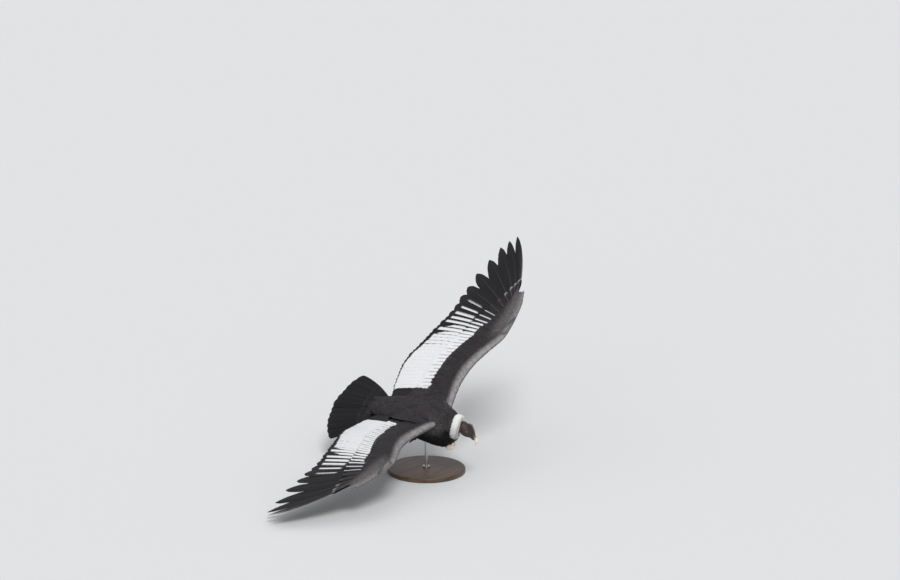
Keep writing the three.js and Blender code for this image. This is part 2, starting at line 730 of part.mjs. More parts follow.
node(bird, "torso", torso, colours.black);
node(bird, "crop", clearOf(cropSolid(), torsoRoom), colours.crop);
node(bird, "neck", clearOf(neckSolid(), torsoRoom, skullRoom), colours.skin);
node(bird, "ruff", clearOf(ruffSolid(), torsoRoom, neckRoom, cropRoom, skullRoom), colours.down);
node(bird, "head", clearOf(headSolid(), besideSkull, torsoRoom), colours.skin);
node(bird, "comb", combSolid(), colours.comb);
node(bird, "bill_upper", billUpper(), colours.ivory);
node(bird, "bill_lower", billLower(), colours.ivory);
for (const [name, side] of [["left", 1], ["right", -1]]) {
  node(bird, `eye_${name}`, inHead(ball(v3(eye.x, side * eye.y, eye.z), eye.radius)), colours.eye);
}
node(bird, "tail", clearOf(tailSolid(), torsoRoom), colours.black);

const leftSide = [
  ["thigh_NAME", clearOf(thighSolid(), torsoRoom), colours.black],
  ["shank_NAME", clearOf(shankSolid(), torsoRoom, thighSolid().translate([0, gap, 0])), colours.leg],
  ["foot_NAME", clearOf(footSolid(), torsoRoom, shankSolid(gap)), colours.leg],
];
for (const [name, made, look] of leftSide) {
  node(bird, name.replace("NAME", "left"), made, look);
  node(bird, name.replace("NAME", "right"), mirrored(made), look);
}
for (const [name, made] of [["arm", wingArm()], ["hand", wingHand()]]) {
  const turned = (half) => half.rotate([0, 0, THREE.MathUtils.radToDeg(wingTurn)]);
  node(bird, `wing_left_${name}`, clearOf(turned(made), torsoRoom), colours.black);
  node(bird, `wing_right_${name}`, clearOf(turned(mirrored(made)), torsoRoom), colours.black);
}
bird.applyMatrix4(birdTurn);

node(model, "stand_base", baseSolid(), colours.wood);
node(model, "stand_collar", collarSolid(), colours.steel);
node(model, "stand_rod", rodSolid(), colours.steel);
model.add(bird);

export default model;
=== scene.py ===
# A male Andean condor gliding in a banked turn, life size, held over a flat base by one rod.
import itertools
import math

import bmesh
import bpy
import numpy as np
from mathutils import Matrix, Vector, noise
from mathutils.bvhtree import BVHTree
from mathutils.kdtree import KDTree


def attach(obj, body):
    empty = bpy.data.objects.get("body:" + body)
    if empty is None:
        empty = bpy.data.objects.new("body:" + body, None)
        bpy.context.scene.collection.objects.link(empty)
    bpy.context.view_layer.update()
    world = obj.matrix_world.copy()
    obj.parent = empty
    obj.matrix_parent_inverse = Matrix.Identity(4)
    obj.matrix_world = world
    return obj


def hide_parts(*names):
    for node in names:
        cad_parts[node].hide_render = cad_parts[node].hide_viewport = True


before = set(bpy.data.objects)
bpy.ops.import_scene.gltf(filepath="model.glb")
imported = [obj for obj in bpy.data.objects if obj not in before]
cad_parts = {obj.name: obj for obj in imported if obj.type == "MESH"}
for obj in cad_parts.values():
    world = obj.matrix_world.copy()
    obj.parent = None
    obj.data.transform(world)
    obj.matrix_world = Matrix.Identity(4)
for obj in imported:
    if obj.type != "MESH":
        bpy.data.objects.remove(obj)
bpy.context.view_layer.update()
print("frame loaded with", len(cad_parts), "solids")

# The bird is shaped in its own frame in millimetres: +x its left wing, +y its tail, +z its back.
pose = {
    "bank": math.radians(23.5),  # lean of the whole bird to its right
    "wingTurn": math.radians(2.2),  # left wing back, right wing forward
    "place": (-42.27, -190.0, 440.0),
}


def vec(*values):
    return np.array(values, float)


xAxis, yAxis, zAxis = np.eye(3)


def unit(vectors):
    return vectors / np.maximum(np.linalg.norm(vectors, axis=-1, keepdims=True), 1e-9)


def mix(a, b, t):
    return a + (b - a) * t


def ramp(x, low, high):
    t = np.clip((np.asarray(x, float) - low) / (high - low), 0, 1)
    return t * t * (3 - 2 * t)


def toWorld(points):
    points = np.asarray(points, float)
    c, s = math.cos(pose["bank"]), math.sin(pose["bank"])
    x, y, z = points[..., 0], points[..., 1], points[..., 2]
    px, py, pz = pose["place"]
    return np.stack([x * c - z * s + px, y + py, x * s + z * c + pz], -1) / 1000


def turnWing(points, side):
    # side is 1 for the left wing and -1 for the right one
    points = np.array(points, float)
    points[..., 0] *= side
    c, s = math.cos(pose["wingTurn"]), math.sin(pose["wingTurn"])
    x, y = points[..., 0].copy(), points[..., 1].copy()
    points[..., 0], points[..., 1] = x * c - y * s, x * s + y * c
    return points


def through(rows):
    # a smooth curve through rows of (station, value, ...), straight past its ends
    rows = np.array(rows, float)
    x, y, last = rows[:, 0], rows[:, 1:], len(rows) - 1
    slopes = np.array(
        [
            (y[min(i + 1, last)] - y[max(i - 1, 0)]) / (x[min(i + 1, last)] - x[max(i - 1, 0)])
            for i in range(last + 1)
        ]
    )

    def at(station):
        station = np.asarray(station, float)
        t = np.clip(station, x[0], x[-1])
        i = np.clip(np.searchsorted(x, t, side="left") - 1, 0, last - 1)
        step = (x[i + 1] - x[i])[..., None]
        u = (t - x[i])[..., None] / step
        bend = step * ((u**3 - 2 * u * u + u) * slopes[i] + (u**3 - u * u) * slopes[i + 1])
        value = y[i] + (y[i + 1] - y[i]) * (3 * u * u - 2 * u**3) + bend
        end = np.where((station < t)[..., None], slopes[0], slopes[last])
        return value + (station - t)[..., None] * end

    return at


def curve(*rows):
    # the same for one value
    at = through(rows)
    return lambda station: at(station)[..., 0]


# meshes from arrays
def makeMesh(name, points, faces, colour=None, cornerColour=None, maps=None, sharp=None):
    # points in the bird's frame, faces all with the same number of corners
    mesh = bpy.data.meshes.new(name)
    mesh.vertices.add(len(points))
    mesh.vertices.foreach_set("co", toWorld(points).astype(np.float32).ravel())
    mesh.loops.add(faces.size)
    mesh.loops.foreach_set("vertex_index", faces.astype(np.int32).ravel())
    mesh.polygons.add(len(faces))
    mesh.polygons.foreach_set("loop_start", np.arange(0, faces.size, faces.shape[1], dtype=np.int32))
    mesh.update(calc_edges=True)
    mesh.polygons.foreach_set("use_smooth", np.ones(len(faces), bool))
    for data, domain in ((colour, "POINT"), (cornerColour, "CORNER")):
        if data is not None:
            attribute = mesh.attributes.new("plumage", "FLOAT_COLOR", domain)
            flat = np.concatenate([data.reshape(-1, 3), np.ones((data.size // 3, 1))], 1)
            attribute.data.foreach_set("color", flat.astype(np.float32).ravel())
    for mapName, values in (maps or {}).items():
        layer = mesh.uv_layers.new(name=mapName)
        layer.data.foreach_set("uv", values.astype(np.float32).ravel())
    if sharp is not None:
        ends = np.zeros(len(mesh.edges) * 2, np.int32)
        mesh.edges.foreach_get("vertices", ends)
        flags = sharp[ends.reshape(-1, 2)].all(1)
        mesh.attributes.new("sharp_edge", "BOOLEAN", "EDGE").data.foreach_set("value", flags)
    mesh.update()
    return mesh


triangles = {}  # of each piece


def addPiece(name, mesh, material, replaced=()):
    piece = bpy.data.objects.new(name, mesh)
    bpy.context.scene.collection.objects.link(piece)
    piece.data.materials.append(material)
    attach(piece, "root")
    if replaced:
        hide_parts(*replaced)
    mesh.calc_loop_triangles()
    triangles[name] = len(mesh.loop_triangles)
    print(name, triangles[name], "triangles")


# feathers: thin closed vanes on a grid, whose upper and under sides share one sharp outline
def vaneTemplate(rows, columns):
    grid = np.arange(rows * columns).reshape(rows, columns)
    under = grid.copy()
    inside = (rows - 2) * (columns - 2)
    under[1:-1, 1:-1] = rows * columns + np.arange(inside).reshape(rows - 2, columns - 2)
    edge = np.ones(rows * columns + inside, bool)
    edge[grid[1:-1, 1:-1]] = False
    edge[rows * columns:] = False

    def quads(g):
        return np.stack([g[:-1, :-1], g[:-1, 1:], g[1:, 1:], g[1:, :-1]], -1).reshape(-1, 4)

    spots = np.concatenate([quads(grid), quads(grid)[:, ::-1]])
    faces = np.concatenate([quads(grid), quads(under)[:, ::-1]])
    return faces, spots, np.repeat([False, True], len(spots) // 2), edge


def makeVanes(top, under, look, vane, bake):
    # top and under: points (feather, row, column, 3). look: colours of both sides. vane: metres across and
    # along the feather. bake: places of both sides on the bake map.
    count, rows, columns = top.shape[:3]
    faces, spots, lower, edge = vaneTemplate(rows, columns)
    points = np.concatenate(
        [top.reshape(count, -1, 3), under[:, 1:-1, 1:-1].reshape(count, -1, 3)], 1
    )
    each = points.shape[1]
    offsets = (np.arange(count) * each)[:, None, None]

    def corners(pair, size):
        a, b = [np.broadcast_to(x, (count, rows, columns, size)).reshape(count, -1, size) for x in pair]
        return np.where(lower[None, :, None, None], b[:, spots], a[:, spots]).reshape(-1, 4, size)

    return {
        "points": points.reshape(-1, 3),
        "faces": (faces[None] + offsets).reshape(-1, 4),
        "colour": corners(look, 3),
        "vane": corners((vane, vane), 2),
        "bake": corners(bake, 2),
        "sharp": np.tile(edge, count),
    }


def joinVanes(name, groups, mirrored=False):
    start, faces = 0, []
    for group in groups:
        faces.append(group["faces"] + start)
        start += len(group["points"])
    joined = {k: np.concatenate([g[k] for g in groups]) for k in groups[0] if k != "faces"}
    faces = np.concatenate(faces)
    if mirrored:
        faces = faces[:, ::-1]
        for k in ("colour", "vane", "bake"):
            joined[k] = joined[k][:, ::-1]
    return makeMesh(
        name,
        joined["points"],
        faces,
        cornerColour=joined["colour"],
        maps={"OFBake": joined["bake"], "vane": joined["vane"]},
        sharp=joined["sharp"],
    )


def stripCells(count, area, columns, across, along):
    # every feather its own strip of the bake map, one for each side; across and along run 0 to 1
    left, low, right, high = area
    rowsOfCells = math.ceil(2 * count / columns)
    size = vec((right - left) / columns, (high - low) / rowsOfCells)
    margin = 0.0012
    sides = []
    for side in (0, 1):
        cell = np.arange(count) * 2 + side
        corner = np.stack([cell % columns, cell // columns], -1) * size + vec(left, low)
        inside = np.stack(np.broadcast_arrays(across, along), -1) * (size - 2 * margin) + margin
        sides.append(corner[:, None, None] + inside)
    return sides


def patches(places, shares, columns, size=0.003):
    # each small feather is a tiny patch at its root's place
    inside = (np.stack(np.broadcast_arrays(columns / 2 + 0.5, shares[:, None]), -1) - 0.5) * size
    spot = np.clip(places, 0.004, 0.996)[:, None, None] + inside
    return spot, spot


palette = {
    "black": vec(0.0115, 0.0108, 0.0125),
    "worn": vec(0.026, 0.02, 0.018),
    "back": vec(0.036, 0.031, 0.034),
    # the breast's colour is its own black with painted shade, darker than the back
    "breast": vec(0.0085, 0.008, 0.0085),
    "silver": vec(0.27, 0.255, 0.255),
    "dusk": vec(0.12, 0.11, 0.113),
    "white": vec(0.80, 0.80, 0.81),
    "down": vec(0.93, 0.925, 0.915),
    "shaft": vec(0.1, 0.09, 0.082),
    "under": vec(0.02, 0.019, 0.02),
}


def blendColour(a, b, share):
    return a + (b - a) * np.asarray(share)[..., None]


# the wing's own field: stations 0 to 1 along the arm and 1 to 2 along the hand
wing = {
    "leadingEdge": through(
        [
            (0, 112, 36, -30),
            (0.25, 280, 66, 10),
            (0.5, 420, 44, 56),
            (0.75, 540, -8, 90),
            (1, 652, -60, 117),
            (1.25, 756, -58, 132),
            (1.5, 851, -48, 151),
            (1.75, 940, -28, 163),
            (2, 1019, -2, 188),
        ]
    ),
    "root": through(
        [
            (0, 150, 152, -22),
            (0.25, 288, 134, 19),
            (0.5, 412, 104, 62),
            (0.75, 530, 56, 96),
            (1, 634, 20, 121),
            (1.25, 730, 6, 140),
            (1.5, 822, 6, 156),
            (1.75, 914, 20, 172),
            (2, 986, 27, 192),
        ]
    ),
    "tip": through(
        [
            (0, 118, 520, -52),
            (0.25, 240, 556, -24),
            (0.5, 372, 566, 18),
            (0.75, 512, 524, 60),
            (1, 660, 480, 96),
            (1.25, 826, 449, 118),
            (1.5, 1070, 457, 155),
            (1.75, 1386, 421, 188),
            (2, 1472, 294, 256),
        ]
    ),
    "archAndBow": through([(0, 16, 0), (1, 14, 0), (1.5, -6, 10), (2, -2, 22)]),
    "flesh": through(
        [
            (0, 64, 0.24),
            (0.25, 54, 0.3),
            (0.5, 45, 0.33),
            (0.75, 38, 0.33),
            (1, 32, 0.28),
            (1.5, 23, 0.2),
            (2, 15, 0.13),
        ]
    ),
    "fleshRear": 12.6,  # thickness where the feathers leave the flesh
    "rootAt": 0.3,  # share of the flesh's depth at which the feathers' roots lie
    "step": 1.75,  # rise from one flight feather to the next one inwards
}


def featherIndex(station):
    return np.where(station <= 1, 14 * station, 14 + 10 * (station - 1))


def wingPoint(station, along):
    # a point of the feathers' surface: along runs from 0 at their roots to 1 at their tips
    station, along = np.broadcast_arrays(np.asarray(station, float), np.asarray(along, float))
    root, tip, bend = wing["root"](station), wing["tip"](station), wing["archAndBow"](station)
    line = tip - root
    forward = unit(np.stack([line[..., 1], -line[..., 0], 0 * line[..., 0]], -1))
    swell = 4 * along * (1 - along)
    point = root + line * along[..., None] + forward * (bend[..., 1] * swell)[..., None]
    point[..., 2] += bend[..., 0] * swell
    return point


def spread(station, along):
    # millimetres across the feathers for one station
    ahead = (wingPoint(station + 0.02, along) - wingPoint(station - 0.02, along)) / 0.04
    shaft = unit(wingPoint(station, along + 0.02) - wingPoint(station, along - 0.02))
    return np.linalg.norm(np.cross(ahead, shaft), axis=-1)


def fleshPoint(station, depth, side):
    # the flesh's surface from its leading edge (depth 0) to its rear (1) and on over the feathers
    station, depth, side = np.broadcast_arrays(
        np.asarray(station, float), np.asarray(depth, float), np.asarray(side, float)
    )
    thick, reach = np.moveaxis(wing["flesh"](station), -1, 0)
    nose = wing["leadingEdge"](station)
    up = unit(np.cross(xAxis, wingPoint(station, reach) - nose))
    inner = np.clip((station + 0.11) / 0.123, 0, 1) * 0.5 + 0.5
    outer = np.clip((2.02 - station) / 0.122, 0.12, 1) ** 0.5
    t = np.clip(depth, 0, 1)
    half = mix(thick / 2 * np.sqrt(np.sin(math.pi * t**0.62).clip(0)), wing["fleshRear"] / 2, t * t)
    half = half * inner * outer - 1.6 * np.clip(depth - 1, 0, 1)
    near = (depth / wing["rootAt"]).clip(0, 1)[..., None]
    front = nose + (wingPoint(station, 0 * depth) - nose) * near
    back = wingPoint(station, (reach * (depth - wing["rootAt"]) / (1 - wing["rootAt"])).clip(0))
    middle = np.where((depth < wing["rootAt"])[..., None], front, back)
    return middle + up * (side * half)[..., None]


# depth for a distance over the surface from the leading edge, in millimetres
fleshTable = {"stations": np.linspace(-0.14, 2.04, 110), "distances": np.arange(0, 420, 2.0)}
for fleshSide in (1, -1):
    depthSteps = np.linspace(0, 1, 120) ** 1.8 * 1.9
    spots = fleshPoint(fleshTable["stations"][:, None], depthSteps[None], fleshSide)
    run = np.linalg.norm(np.diff(spots, axis=1), axis=-1).cumsum(1)
    run = np.concatenate([np.zeros((len(run), 1)), run], 1)
    fleshTable[fleshSide] = np.array(
        [np.interp(fleshTable["distances"], row, depthSteps) for row in run]
    )


def fleshDepth(station, distance, side):
    stations, distances = fleshTable["stations"], fleshTable["distances"]
    x = np.interp(station, stations, np.arange(len(stations)))
    y = np.clip(np.abs(distance) / 2.0, 0, len(distances) - 1.001)
    i, j = np.clip(x.astype(int), 0, len(stations) - 2), y.astype(int)
    u, v = x - i, y - j
    found = []
    for t in (fleshTable[1], fleshTable[-1]):
        near, far = mix(t[i, j], t[i, j + 1], v), mix(t[i + 1, j], t[i + 1, j + 1], v)
        found.append(mix(near, far, u))
    return np.where(side == 1, *found)


def fleshSpot(station, distance):
    # distance is over the upper side, or below 0 over the under side
    side = np.where(distance >= 0, 1, -1)
    return fleshPoint(station, fleshDepth(station, distance, side), side)


def fleshNormal(station, distance):
    ahead = fleshSpot(station + 0.01, distance) - fleshSpot(station - 0.01, distance)
    back = fleshSpot(station, distance + 3) - fleshSpot(station, distance - 3)
    return unit(np.cross(ahead, back))


# flight feathers and greater coverts
flight = {
    "primaries": [1.95, 1.85, 1.75, 1.65, 1.55, 1.45, 1.36, 1.28, 1.205, 1.14],
    "outerSecondaries": [1.075, 1.012, 0.952, 0.9],
    "innerSecondaries": (19, 0.85, -0.06),  # number, first station, last station
    "widths": through(
        [
            (-0.1, 38, 27),
            (0.9, 38, 27),
            (1.1, 45, 31),
            (1.3, 55, 37),
            (1.45, 64, 42),
            (1.6, 65, 39),
            (1.7, 59, 33),
            (1.8, 50, 26),
            (2, 42, 20),
        ]
    ),
    "firstFinger": 3.2,  # primaries inwards of this one stay broad
    "thick": 0.7,
    "camber": 1.3,
    "shaft": (2.3, 0.5),  # half width at its root and at its tip
    "roundFrom": 0.9,  # share of the length at which the tip's round begins
    "splits": 5,
    "whiteEnd": curve(
        (-0.1, 0.975), (0.35, 0.972), (0.54, 0.95), (0.7, 0.93), (0.86, 0.915), (1, 0.925), (1.15, 0.91),
        (1.26, 0.885), (1.33, 0.85), (1.4, 0.8)
    ),
    "whiteStart": curve((-0.1, 0), (1, 0), (1.06, 0.45), (1.15, 0.52), (1.4, 0.55)),
    "whiteOuterWeb": curve(
        (-0.1, 1.2), (0.8, 1.05), (0.9, 0.9), (1.0, 0.76), (1.15, 0.58), (1.28, 0.42), (1.36, 0.22), (1.4, 0)
    ),
}
flightStations = np.concatenate(
    [flight["primaries"], flight["outerSecondaries"],
     np.linspace(*[flight["innerSecondaries"][k] for k in (1, 2, 0)])]
)


def flightRows(station):
    # share of the length, then the widths as shares of the full ones
    finger = np.clip((featherIndex(station) - 14 - flight["firstFinger"]) / 2.5, 0, 1)
    narrow = 0.13 * ramp(station, 1.86, 1.94)
    if station < 1.1:
        return [(0, 0.5, 0.5), (0.3, 0.95, 0.9), (0.6, 1, 1), (0.9, 1, 1), (1, 0.9, 0.9)]
    return [
        (0, 0.45, 0.5),
        (0.28, 1, 1),
        (0.46, 1, 1),
        (0.62, mix(1, 1 - narrow, finger), 1),
        (0.8, mix(1, 0.94 - narrow, finger), mix(1, 0.92, finger)),
        (0.93, mix(0.96, 0.6 - narrow, finger), mix(0.96, 0.6, finger)),
        (1, mix(0.86, 0.3 - narrow, finger), mix(0.86, 0.3, finger)),
    ]


def vaneWidths(rows, share, roundFrom, tipWidth=0.05):
    table = np.array(rows)
    fade = np.clip((share - roundFrom) / (1 - roundFrom), 0, 1)
    roundness = np.sqrt(np.clip(1 - (1 - tipWidth**2) * fade**2.3, 0, 1))
    return [np.interp(share, table[:, 0], table[:, k]) * roundness for k in (1, 2)]


def notches(count, share, depth, draws):
    # small splits in a vane's edge, where barbs have come apart
    cut = np.ones(share.shape)
    for _ in range(count):
        at, deep = draws.uniform(0.3, 0.97), draws.uniform(0.3, 1) * depth
        cut -= deep * np.clip(1 - np.abs(share - at) / 0.012, 0, 1)
    return cut


flightShares = np.concatenate([np.linspace(0, 0.86, 34), np.linspace(0.86, 1, 15)[1:]])
innerColumns = vec(1, 0.82, 0.6, 0.38, 0.18)
outerColumns = vec(0.25, 0.5, 0.76, 1)
shaftRidge = np.concatenate([0 * innerColumns, [0, 1, 0], 0 * outerColumns])


def spreadVane(inner, outer, half):
    # distances across a feather: its inner web, its shaft and its outer web
    middle = half[:, None] * vec(-1, 0, 1)
    return np.concatenate([-inner[:, None] * innerColumns, middle, outer[:, None] * outerColumns], 1)


def bigVanes(stations, share, rowsOf, widthsOf, fromTo, rise, thick, shaft, camber, roundFrom, splits, draws):
    # grids of big feathers over the wing's field, with a raised shaft: gives upper and under points, the
    # distance across in millimetres and the share across from 0 to 1
    tops, unders, wides, acrosses = [], [], [], []
    for station in stations:
        inner, outer = vaneWidths(rowsOf(station), share, roundFrom)
        fullInner, fullOuter = widthsOf(station)
        inner = inner * fullInner * notches(splits, share, 0.16, draws)
        outer = outer * fullOuter * notches(splits // 2, share, 0.12, draws)
        half = np.minimum(mix(shaft[0], shaft[1], share), 0.3 * np.minimum(inner, outer) + 0.05)
        wide = spreadVane(inner, outer, half)
        start, end = fromTo(station)
        along = mix(start, end, share)[:, None] + 0 * wide
        lag = 0.016 * (wide / (fullInner + fullOuter)) ** 2 * ramp(share, 0.5, 1)[:, None]
        scatter = draws.normal(0, 1, 4)
        place = station + (wide + 0.7 * scatter[0] * share[:, None]) / spread(station, along)
        point = wingPoint(place, along - lag + 0.004 * scatter[1] * share[:, None])
        tilt = wing["step"] * (featherIndex(place) - featherIndex(station))
        full = np.where(wide < 0, np.maximum(inner, 1)[:, None], np.maximum(outer, 1)[:, None])
        web = np.abs(wide) / full
        lift = rise(station, share)[:, None] + tilt - camber * web**2 + shaftRidge * half[:, None] * 1.1
        lift = lift + 1.2 * scatter[2] * ramp(share, 0.5, 1)[:, None] ** 2
        ripple = 0.35 * np.sin(share * 55 + 9 * scatter[3])[:, None] * web**2
        point[..., 2] += lift + ripple
        deep = np.where(web < 0.98, thick, 0.15) + shaftRidge * half[:, None] * 1.5
        low = point.copy()
        low[..., 2] -= deep
        tops.append(point)
        unders.append(low)
        wides.append(wide)
        acrosses.append((wide + inner[:, None]) / np.maximum(inner + outer, 1)[:, None])
    return [np.array(x) for x in (tops, unders, wides, acrosses)]


def vaneMap(wide, share, length):
    return np.stack(np.broadcast_arrays(wide / 1000, share[:, None] * length / 1000), -1)


def flightColours(stations, share, wide, tone):
    s = stations[:, None, None]
    v = share[None, :, None]
    innerWeb, outerWeb = wide < -0.01, wide > 0.01
    fullOuter = np.array([flight["widths"](x)[1] for x in stations])[:, None, None]
    wear = ramp(v, 0.75, 1) * ramp(s, 0.9, 1.3) * 0.55 + 0 * wide
    black = blendColour(palette["black"], palette["worn"], wear) * tone[:, None, None, None]
    dark = blendColour(black, palette["back"] * 0.85, ramp(s, 0.06, -0.02) * 0.5 + 0 * wide)
    whiteWeb = np.where(
        innerWeb, ramp(s, 0.8, 0.64), np.clip((flight["whiteOuterWeb"](s) * fullOuter - wide) / 4 + 0.5, 0, 1)
    )
    white = whiteWeb * ramp(v, flight["whiteEnd"](s) + 0.012, flight["whiteEnd"](s) - 0.012)
    white = white * ramp(v, flight["whiteStart"](s) - 0.02, flight["whiteStart"](s) + 0.02)
    white = white * (s > 0.05) * (s < 1.395)
    top = blendColour(dark, palette["white"] * (0.97 + 0.03 * tone[:, None, None, None]), white)
    shaft = (~innerWeb & ~outerWeb) * ramp(s, 1.05, 1.3) * ramp(v, 1.0, 0.6)
    top = blendColour(top, palette["shaft"], shaft * 0.9)
    pale = ramp(s, 1.9, 1.94) * np.clip(wide / fullOuter, 0, 1) ** 2 * ramp(v, 0.95, 0.3)
    top = blendColour(top, palette["silver"], pale * 0.75)
    low = palette["under"] * tone[:, None, None, None] * np.where(innerWeb, 1.15, 0.9)[..., None]
    low = low * mix(1.25, 0.75, v)[..., None]
    return top, blendColour(low, palette["shaft"] * 1.2, (~innerWeb & ~outerWeb) * 0.8)


def remiges(draws):
    stations, share = flightStations, flightShares
    top, under, wide, across = bigVanes(
        stations, share, flightRows, flight["widths"], lambda s: (0, 1), lambda s, v: 0 * v,
        flight["thick"], flight["shaft"], flight["camber"], flight["roundFrom"], flight["splits"], draws
    )
    tone = draws.uniform(0.85, 1.18, len(stations))
    look = flightColours(stations, share, wide, tone)
    bake = stripCells(len(stations), (0, 0.27, 1, 1), 22, across, share[None, :, None])
    return makeVanes(top, under, look, vaneMap(wide, share, 480), bake)


greater = {
    "tip": curve((-0.1, 0.53), (0.5, 0.52), (1.0, 0.505), (1.2, 0.49), (1.36, 0.44), (1.6, 0.33), (2, 0.26)),
    "lowerTip": curve((-0.1, 0.5), (0.5, 0.56), (1.0, 0.5), (1.3, 0.42), (1.6, 0.33), (2, 0.26)),
    "lift": (4.4, 6.4),
    "thick": 0.7,
    "shaft": (1.4, 0.4),
    "camber": 1.0,
    "roundFrom": 0.72,
    "splits": 3,
    "outermost": 1.988,  # station of one more feather at the hand's end
}
greaterShares = np.concatenate([np.linspace(0, 0.8, 13), np.linspace(0.8, 1, 10)[1:]])
greaterRows = [(0, 0.6, 0.6), (0.4, 1, 1), (0.85, 0.95, 0.92), (1, 0.8, 0.75)]


def greaterCoverts(side, draws):
    # side 1 is the upper tier, which shows the white panel, and -1 the one under the wing
    stations = np.concatenate([[greater["outermost"]], flightStations[:-1] - 0.012])
    share = greaterShares
    tipOf = greater["tip"] if side > 0 else greater["lowerTip"]

    def fromTo(s):
        return wing["flesh"](s)[1] * 0.42, float(tipOf(s))

    def rise(s, v):
        lift = mix(*greater["lift"], np.clip(2.5 * s - 2.5, 0, 1)) * np.minimum(1, 0.5 + 1.5 * v)
        return side * lift

    def widths(s):
        return vec(33, 25) if s < 1.3 else vec(33, 22) if s < 1.96 else vec(26, 13)

    top, under, wide, across = bigVanes(
        stations, share, lambda s: greaterRows, widths, fromTo, rise, greater["thick"], greater["shaft"],
        greater["camber"], greater["roundFrom"], greater["splits"], draws
    )
    tone = draws.uniform(0.85, 1.15, len(stations))
    s, v = stations[:, None, None], share[None, :, None]
    dark = (palette["back"] * tone[:, None, None, None]) * mix(1, 0.55, ramp(s, 1.0, 1.4))[..., None]
    pale = ramp(s, 1.5, 1.7) * ramp(v, 0.74, 0.92) * (wide > -6) + ramp(s, 1.3, 1.5) * (wide == 0)
    handLook = blendColour(dark, palette["silver"] * 1.5, np.clip(pale, 0, 1) * 0.7)
    innerWeb = wide < -0.01
    outerWhite = np.clip((mix(22, 6, ramp(s, 0.95, 1.36)) - wide) / 3, 0, 1)
    web = np.where(innerWeb, ramp(s, 1.0, 0.86), outerWhite)
    white = web * (s > 0.05) * ramp(s, 1.42, 1.34) * ramp(v, 1.03, 0.985)
    white = white * (1 - 0.35 * (np.abs(wide) < 0.01) * ramp(s, 0.55, 0.9))
    upperLook = blendColour(handLook, palette["white"] * (0.96 + 0.04 * tone[:, None, None, None]), white)
    lowerLook = palette["under"] * (tone[:, None, None, None] * mix(1.1, 0.8, v)[..., None]) + 0 * top
    look = (upperLook, lowerLook) if side > 0 else (lowerLook * 0.9, lowerLook * 1.15)
    area = (0, 0.135, 1, 0.265) if side > 0 else (0, 0.0, 1, 0.13)
    bake = stripCells(len(stations), area, 64, across, v)
    return makeVanes(top, under, look, vaneMap(wide, share, 200), bake)


# small coverts, lying on the wing's flesh in rows from the leading edge back
small = {
    "shares": vec(0, 0.2, 0.45, 0.68, 0.85, 0.95, 1),
    "widths": vec(0.45, 0.8, 1, 0.97, 0.78, 0.5, 0.14),
    "columns": vec(-1, -0.5, 0, 0.5, 1),
    "thick": 0.6,
    "upperRows": (0.07, 0.13, 0.195, 0.265, 0.34, 0.42, 0.5, 0.585, 0.675, 0.77),
    "lowerRows": (0.06, 0.13, 0.21, 0.3, 0.4, 0.51, 0.63, 0.76),
    # distance over the surface from the leading edge to the tips of the median coverts
    "upperReach": curve(
        (-0.1, 236), (0, 232), (0.25, 215), (0.5, 202), (0.75, 206), (1, 208), (1.2, 182), (1.36, 158),
        (1.6, 135), (2, 108)
    ),
    "lowerReach": curve((-0.1, 250), (0, 245), (0.25, 235), (0.5, 225), (1, 215), (1.36, 165), (2, 112)),
    "highlightBand": curve((-0.1, 34), (0.6, 31), (1, 24), (1.5, 14), (2, 8)),  # painted highlight along the leading edge, standing for the sheen of light there, millimetres
    "shrink": ([0, 1, 1.5, 2], [1, 1, 0.8, 0.62]),  # stations and sizes, which fall towards the tip
}


def wingCoat(station, distance, side):
    # markings of the small coverts, shared by the skin beneath them, with a painted highlight: a pale band
    # along the leading edge
    # painted highlight: the coverts near the leading edge turn silver where light would catch them
    highlightBand = small["highlightBand"](station) * (1 if side > 0 else 0.45)
    pale = ramp(np.abs(distance), highlightBand + 34, highlightBand - 14)
    hand = ramp(station, 0.85, 1.2) * ramp(station, 2.5, 1.7)
    if side > 0:
        hand = hand * ramp(distance, 150, 60)
        base = blendColour(palette["back"] * 0.9, palette["dusk"], hand * 0.85)
        return blendColour(base, palette["silver"], pale * mix(1, 0.6, hand))
    # the under side gets a weaker painted highlight along its leading edge
    return blendColour(palette["under"] * 0.8, palette["silver"] * 0.6, pale * 0.8)


def fleshVanes(station, distance, length, width, side, lift, draws, shares=None, columns=None):
    shares = small["shares"] if shares is None else shares
    columns = small["columns"] if columns is None else columns
    count = len(station)
    outline = np.interp(shares, small["shares"], small["widths"])
    length = length * draws.uniform(0.9, 1.1, count)
    width = width * draws.uniform(0.92, 1.1, count)
    lean = np.radians(draws.normal(9, 5, count))[:, None, None]
    v, u = shares[None, :, None], columns[None, None, :]
    wide = 0.5 * width[:, None, None] * outline[None, :, None] * u
    run = length[:, None, None] * (v - 0.06 * u * u * ramp(v, 0.4, 1))
    across = (fleshSpot(station + 0.01, distance) - fleshSpot(station - 0.01, distance)) / 0.02
    perStation = np.linalg.norm(across, axis=-1)[:, None, None]
    s = station[:, None, None] + (side * wide + np.sin(lean) * run) / perStation
    d = distance[:, None, None] + side * run
    spot, out = fleshSpot(s, d), fleshNormal(s, d)
    rise = mix(lift[0], lift[1], ramp(v, 0, 0.75)) + 0.5 * u + draws.normal(0, 0.35, count)[:, None, None]
    rise = rise - 0.55 * u * u + 0.35 * (u == 0)
    top = spot + out * rise[..., None]
    return top, top - out * small["thick"], wide, run, s, d


def coatLook(colour, shares, columns, tone, fringe=1.45):
    # each feather a little lighter along its rim and darker at its shaft
    rim = np.maximum(ramp(shares, 0.8, 1)[:, None], np.abs(columns)[None, :] ** 3)
    shade = mix(0.88, fringe, 0.75 * rim)[None] * tone[:, None, None]
    return np.clip(colour * shade[..., None], 0, 0.84)


def wingUnwrap(station, distance):
    return np.stack([0.02 + 0.96 * (station + 0.12) / 2.2, 0.5 + distance / 640], -1)


